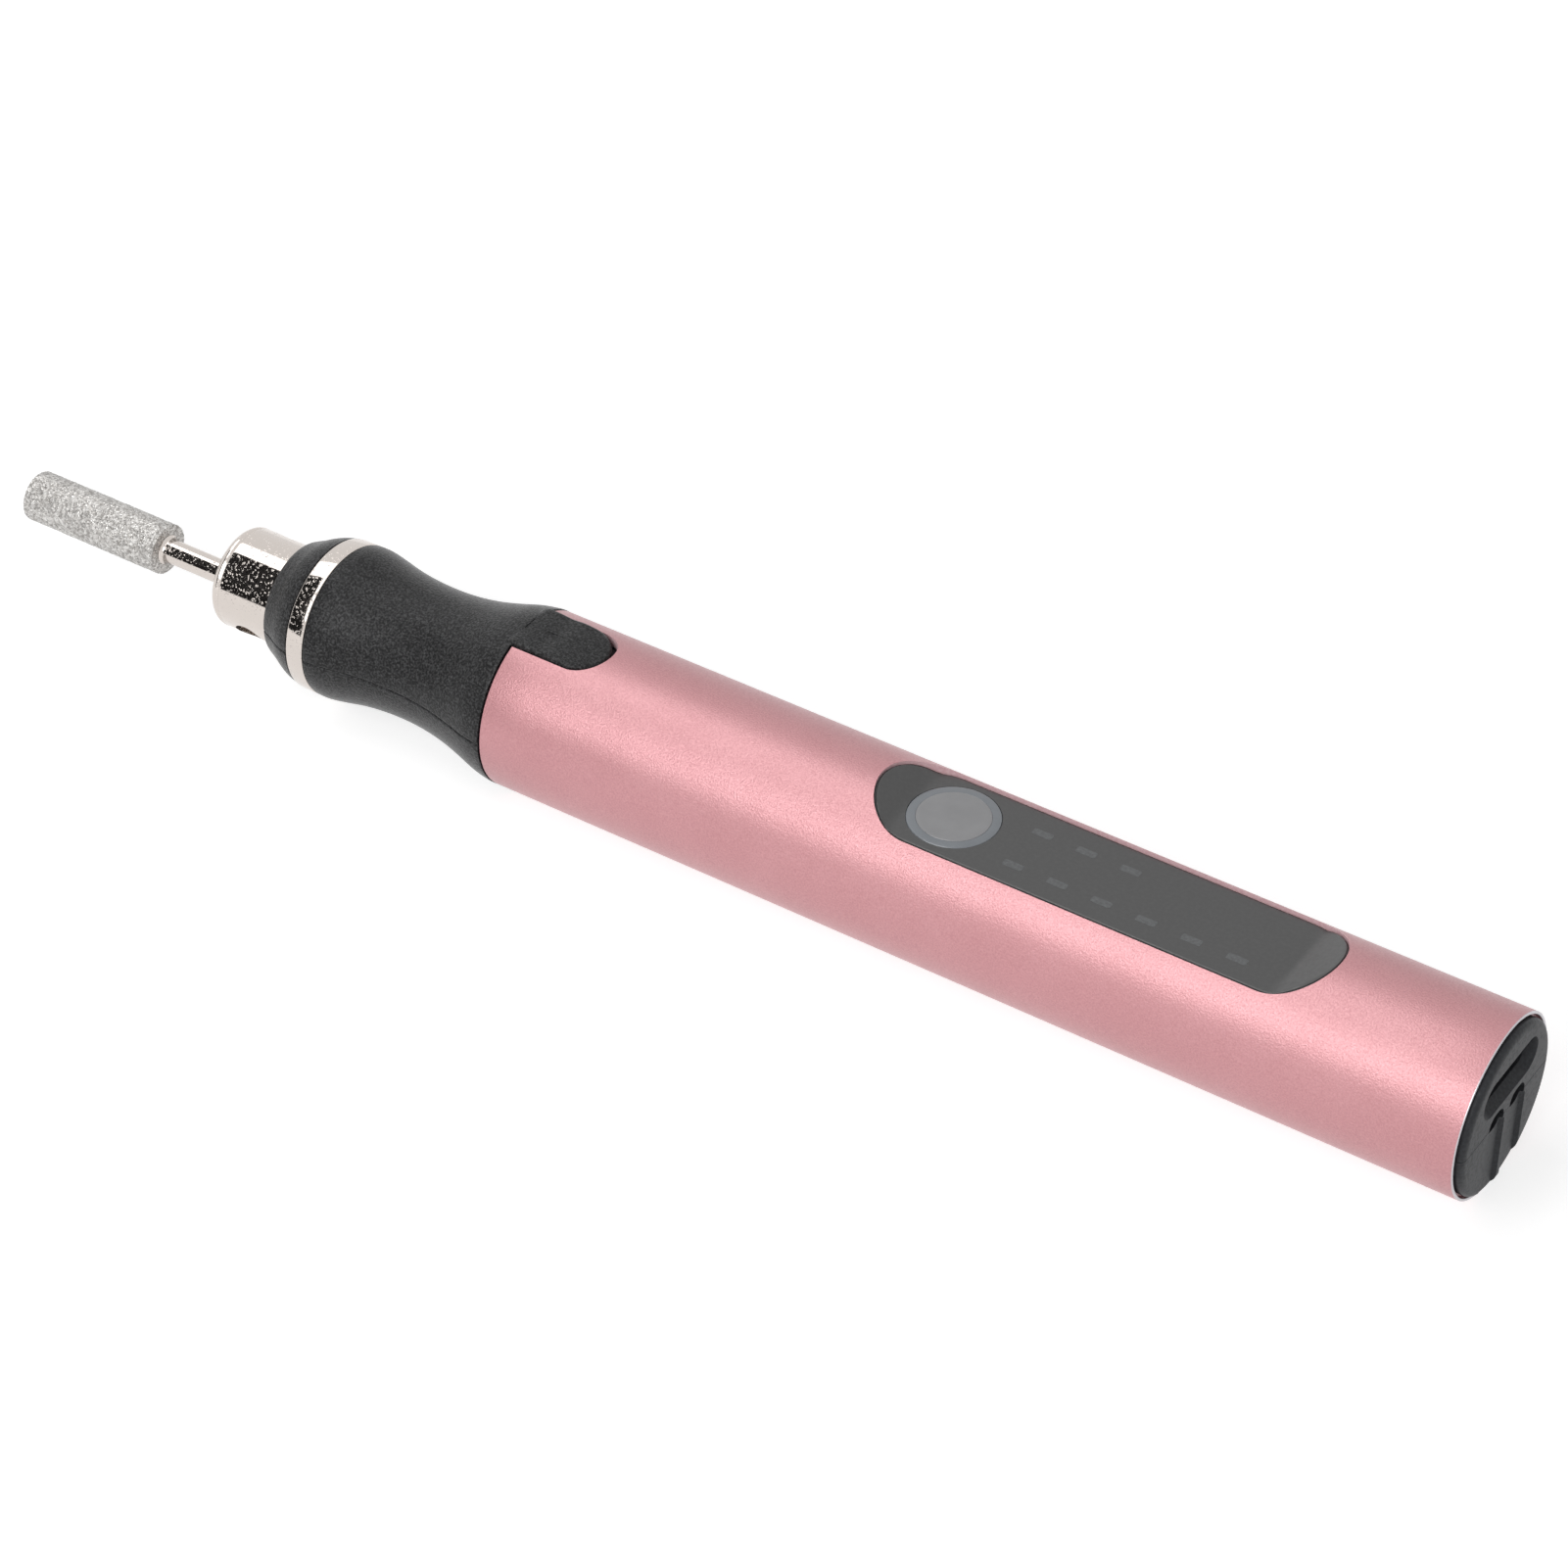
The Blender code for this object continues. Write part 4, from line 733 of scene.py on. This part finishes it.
def keepInside(node, name):
    # the part of a solid that lies inside the tube, cut off behind the cap
    shape = bmesh.new()
    shape.from_mesh(nodes[node].data)
    everything = list(shape.verts) + list(shape.edges) + list(shape.faces)
    cutAt = Vector(((cap["floor"] - cap["insideGap"]) * toMetres, 0, 0))
    cutMade = bmesh.ops.bisect_plane(shape, geom=everything, plane_co=cutAt, plane_no=(1, 0, 0), clear_outer=True)
    rim = [item for item in cutMade["geom_cut"] if isinstance(item, bmesh.types.BMEdge)]
    bmesh.ops.holes_fill(shape, edges=rim)
    addPiece(wrapMesh(name, shape), capAbs, "housing", [node])


def makeCap():
    inward, down = cap["rounding"]
    outline = [(cap["floor"], 0), (cap["floor"], cap["radius"])]
    outline += roundedRim(cap["face"], cap["radius"], -inward, down) + [(cap["face"], 0)]
    for name, start, side in (("Upper", 0, 1), ("Lower", 180, -1)):
        half = spin("rearCap" + name, outline, roundSteps // 2, start, 180)
        half.data.transform(Matrix.Translation((0, 0, side * cap["seamLift"] * toMetres)))
        tools = []
        for across in (-cap["holeSpacing"] / 2, cap["holeSpacing"] / 2):
            hole = [(across + y, axisHeight + z) for y, z in stadium(*cap["hole"], cap["holeSteps"])]
            tools.append(prism("hole", hole, *cap["cut"], "x"))
            if side < 0:
                tools.append(grooveTool(across))
        if side > 0:
            tools += slotTools()
        carve(half, tools)
        node = "rear_cap_upper_half" if side > 0 else "carrier_with_lower_cap"
        addPiece(half, capAbs, "housing", [node])
        keepInside(node, "capShell" if side > 0 else "cellCarrier")


for make in (makeBit, makeChuck, makeGrip, makeRing, makeTube, makePanel, makeButton, makeCap):
    make()
    print("made:", make.__name__)


finishes = {
    groundSteel: ["spindle", "front_bearing_outer_race", "front_bearing_inner_race", "rear_bearing_outer_race",
                  "rear_bearing_inner_race", "motor_can", "motor_shaft", "charge_socket_shell"],
    turnedBrass: ["shaft_coupling", "front_bearing_ball_cage", "rear_bearing_ball_cage", "left_motor_terminal",
                  "right_motor_terminal"],
    bareCopper: ["motor_armature", "motor_commutator"],
    ferriteGrey: ["motor_magnet"],
    carbonBlack: ["left_motor_brush", "right_motor_brush"],
    whiteNylon: ["motor_end_bell", "switch_plunger", "front_led", "rear_led"],
    boardMask: ["circuit_board"],
    capAbs: ["switch_body", "charge_chip", "motor_driver_chip", "charge_socket_contact"],
    cellSleeve: ["battery_cell"],
    nickel: ["front_battery_tab", "rear_battery_tab"],
    redSleeve: ["red_motor_lead", "red_battery_lead"],
    blackSleeve: ["black_motor_lead", "black_battery_lead"],
}
for material, names in finishes.items():
    for name in names:
        nodes[name].data.materials.clear()
        nodes[name].data.materials.append(material)
print("inner nodes finished")


# places of the softboxes and of the camera are in metres
studio = {
    "floorColour": "#C4C4C4", "floorGlow": 0.72, "floorReach": 4000, "skyLevel": 0.1,
    "softboxes": {
        "frontBox": {"at": (-0.2, -1.05, 0.8), "size": (1.15, 0.85), "watts": 8.7},
        "overBox": {"at": (-0.6, -0.1, 1.25), "size": (1.2, 0.8), "watts": 5.6},
        "endFill": {"at": (1.35, -0.6, 0.7), "size": (0.8, 0.6), "watts": 4.2, "glossy": False},
        "lowFill": {"at": (0.3, -1.3, 0.45), "size": (1.0, 0.5), "watts": 1.9, "glossy": False},
    },
    "noseCard": {"left": -200, "right": -97, "reach": 150, "thickness": 1, "from": 96, "sweep": 92, "steps": 40,
                 "colour": "#050505"},
}
cameraFit = {"at": (0.183046, -0.275571, 0.277419), "turn": (10.33969, 22.52077, 24.947), "roll": 45.7,
             "lens": 109.536, "sensor": 36, "nearest": 0.01}


def seenDirectly(material):
    # 1 for what the camera sees, straight or in reflections and through clear pieces, and 0 for light on things
    rays = addNode(material, "ShaderNodeLightPath").outputs
    largest = {"operation": "MAXIMUM"}
    seen = addNode(material, "ShaderNodeMath", largest, {0: rays["Is Camera Ray"], 1: rays["Is Glossy Ray"]})
    seenToo = addNode(material, "ShaderNodeMath", largest, {0: seen.outputs[0], 1: rays["Is Transmission Ray"]})
    return seenToo.outputs[0]


def makeFloor():
    # a matt paper sweep: white to the camera and in reflections, with the pen's own soft shadow
    material, shader, place = startMaterial("whitePaperMatt", studio["floorColour"], 0.0, 0.9)
    feed(material, shader, Roughness=spread(material, noiseAt(material, place, 1.5), 0.85, 0.95))
    level = addNode(material, "ShaderNodeMath", {"operation": "MULTIPLY", 1: studio["floorGlow"]},
                    {0: seenDirectly(material)})
    glow = addNode(material, "ShaderNodeEmission", {"Color": (1, 1, 1, 1)}, {"Strength": level.outputs[0]})
    both = addNode(material, "ShaderNodeAddShader", {}, {0: shader.outputs[0], 1: glow.outputs[0]})
    material.node_tree.links.new(both.outputs[0], material.node_tree.nodes["Material Output"].inputs["Surface"])
    shape = bmesh.new()
    reach = studio["floorReach"]
    shape.faces.new([shape.verts.new((x * reach, y * reach, 0)) for x, y in squareCorners])
    piece = finishMesh("floorPaper", shape)
    piece.data.materials.append(material)


def makeSky():
    world = bpy.data.worlds.new("studioSky")
    bpy.context.scene.world = world
    world.use_nodes = True
    level = addNode(world, "ShaderNodeMapRange", {"To Min": studio["skyLevel"], "To Max": 1.0},
                    {"Value": seenDirectly(world)})
    back = world.node_tree.nodes["Background"]
    back.inputs["Color"].default_value = (1, 1, 1, 1)
    world.node_tree.links.new(level.outputs["Result"], back.inputs["Strength"])


def makeLights():
    for name, box in studio["softboxes"].items():
        light = bpy.data.lights.new(name, "AREA")
        light.shape = "RECTANGLE"
        light.size, light.size_y = box["size"]
        light.energy = box["watts"]
        lamp = bpy.data.objects.new(name, light)
        lamp.location = box["at"]
        lamp.rotation_euler = (Vector((0, 0, 0)) - Vector(box["at"])).to_track_quat("-Z", "Y").to_euler()
        lamp.visible_glossy = box.get("glossy", True)
        bpy.context.scene.collection.objects.link(lamp)


def makeNoseCard():
    # a black card beside the nose, which only the polished pieces there reflect
    card = studio["noseCard"]
    material, shader, place = startMaterial("blackCardMatt", card["colour"], 0.0, 0.9)
    feed(material, shader, Roughness=spread(material, noiseAt(material, place, 4), 0.85, 0.95))
    left, right, near = card["left"], card["right"], card["reach"]
    far = near + card["thickness"]
    sheet = [(left, near), (right, near), (right, far), (left, far)]
    arc = spin("noseCard", sheet, card["steps"], card["from"], card["sweep"])
    arc.data.materials.append(material)
    arc.visible_camera = False
    arc.visible_diffuse = False
    arc.visible_shadow = False


def makeCamera():
    # the view fitted to the photo
    lens = bpy.data.cameras.new("photoCamera")
    lens.lens = cameraFit["lens"]
    lens.sensor_width = cameraFit["sensor"]
    lens.clip_start = cameraFit["nearest"]
    camera = bpy.data.objects.new("photoCamera", lens)
    turn = Euler([math.radians(angle) for angle in cameraFit["turn"]], "XYZ").to_matrix()
    camera.rotation_euler = (Matrix.Rotation(math.radians(cameraFit["roll"]), 3, "X") @ turn).to_euler()
    camera.location = cameraFit["at"]
    bpy.context.scene.collection.objects.link(camera)
    bpy.context.scene.camera = camera


for make in (makeFloor, makeSky, makeLights, makeNoseCard, makeCamera):
    make()
print("studio made")
bpy.context.scene.view_settings.view_transform = "Standard"
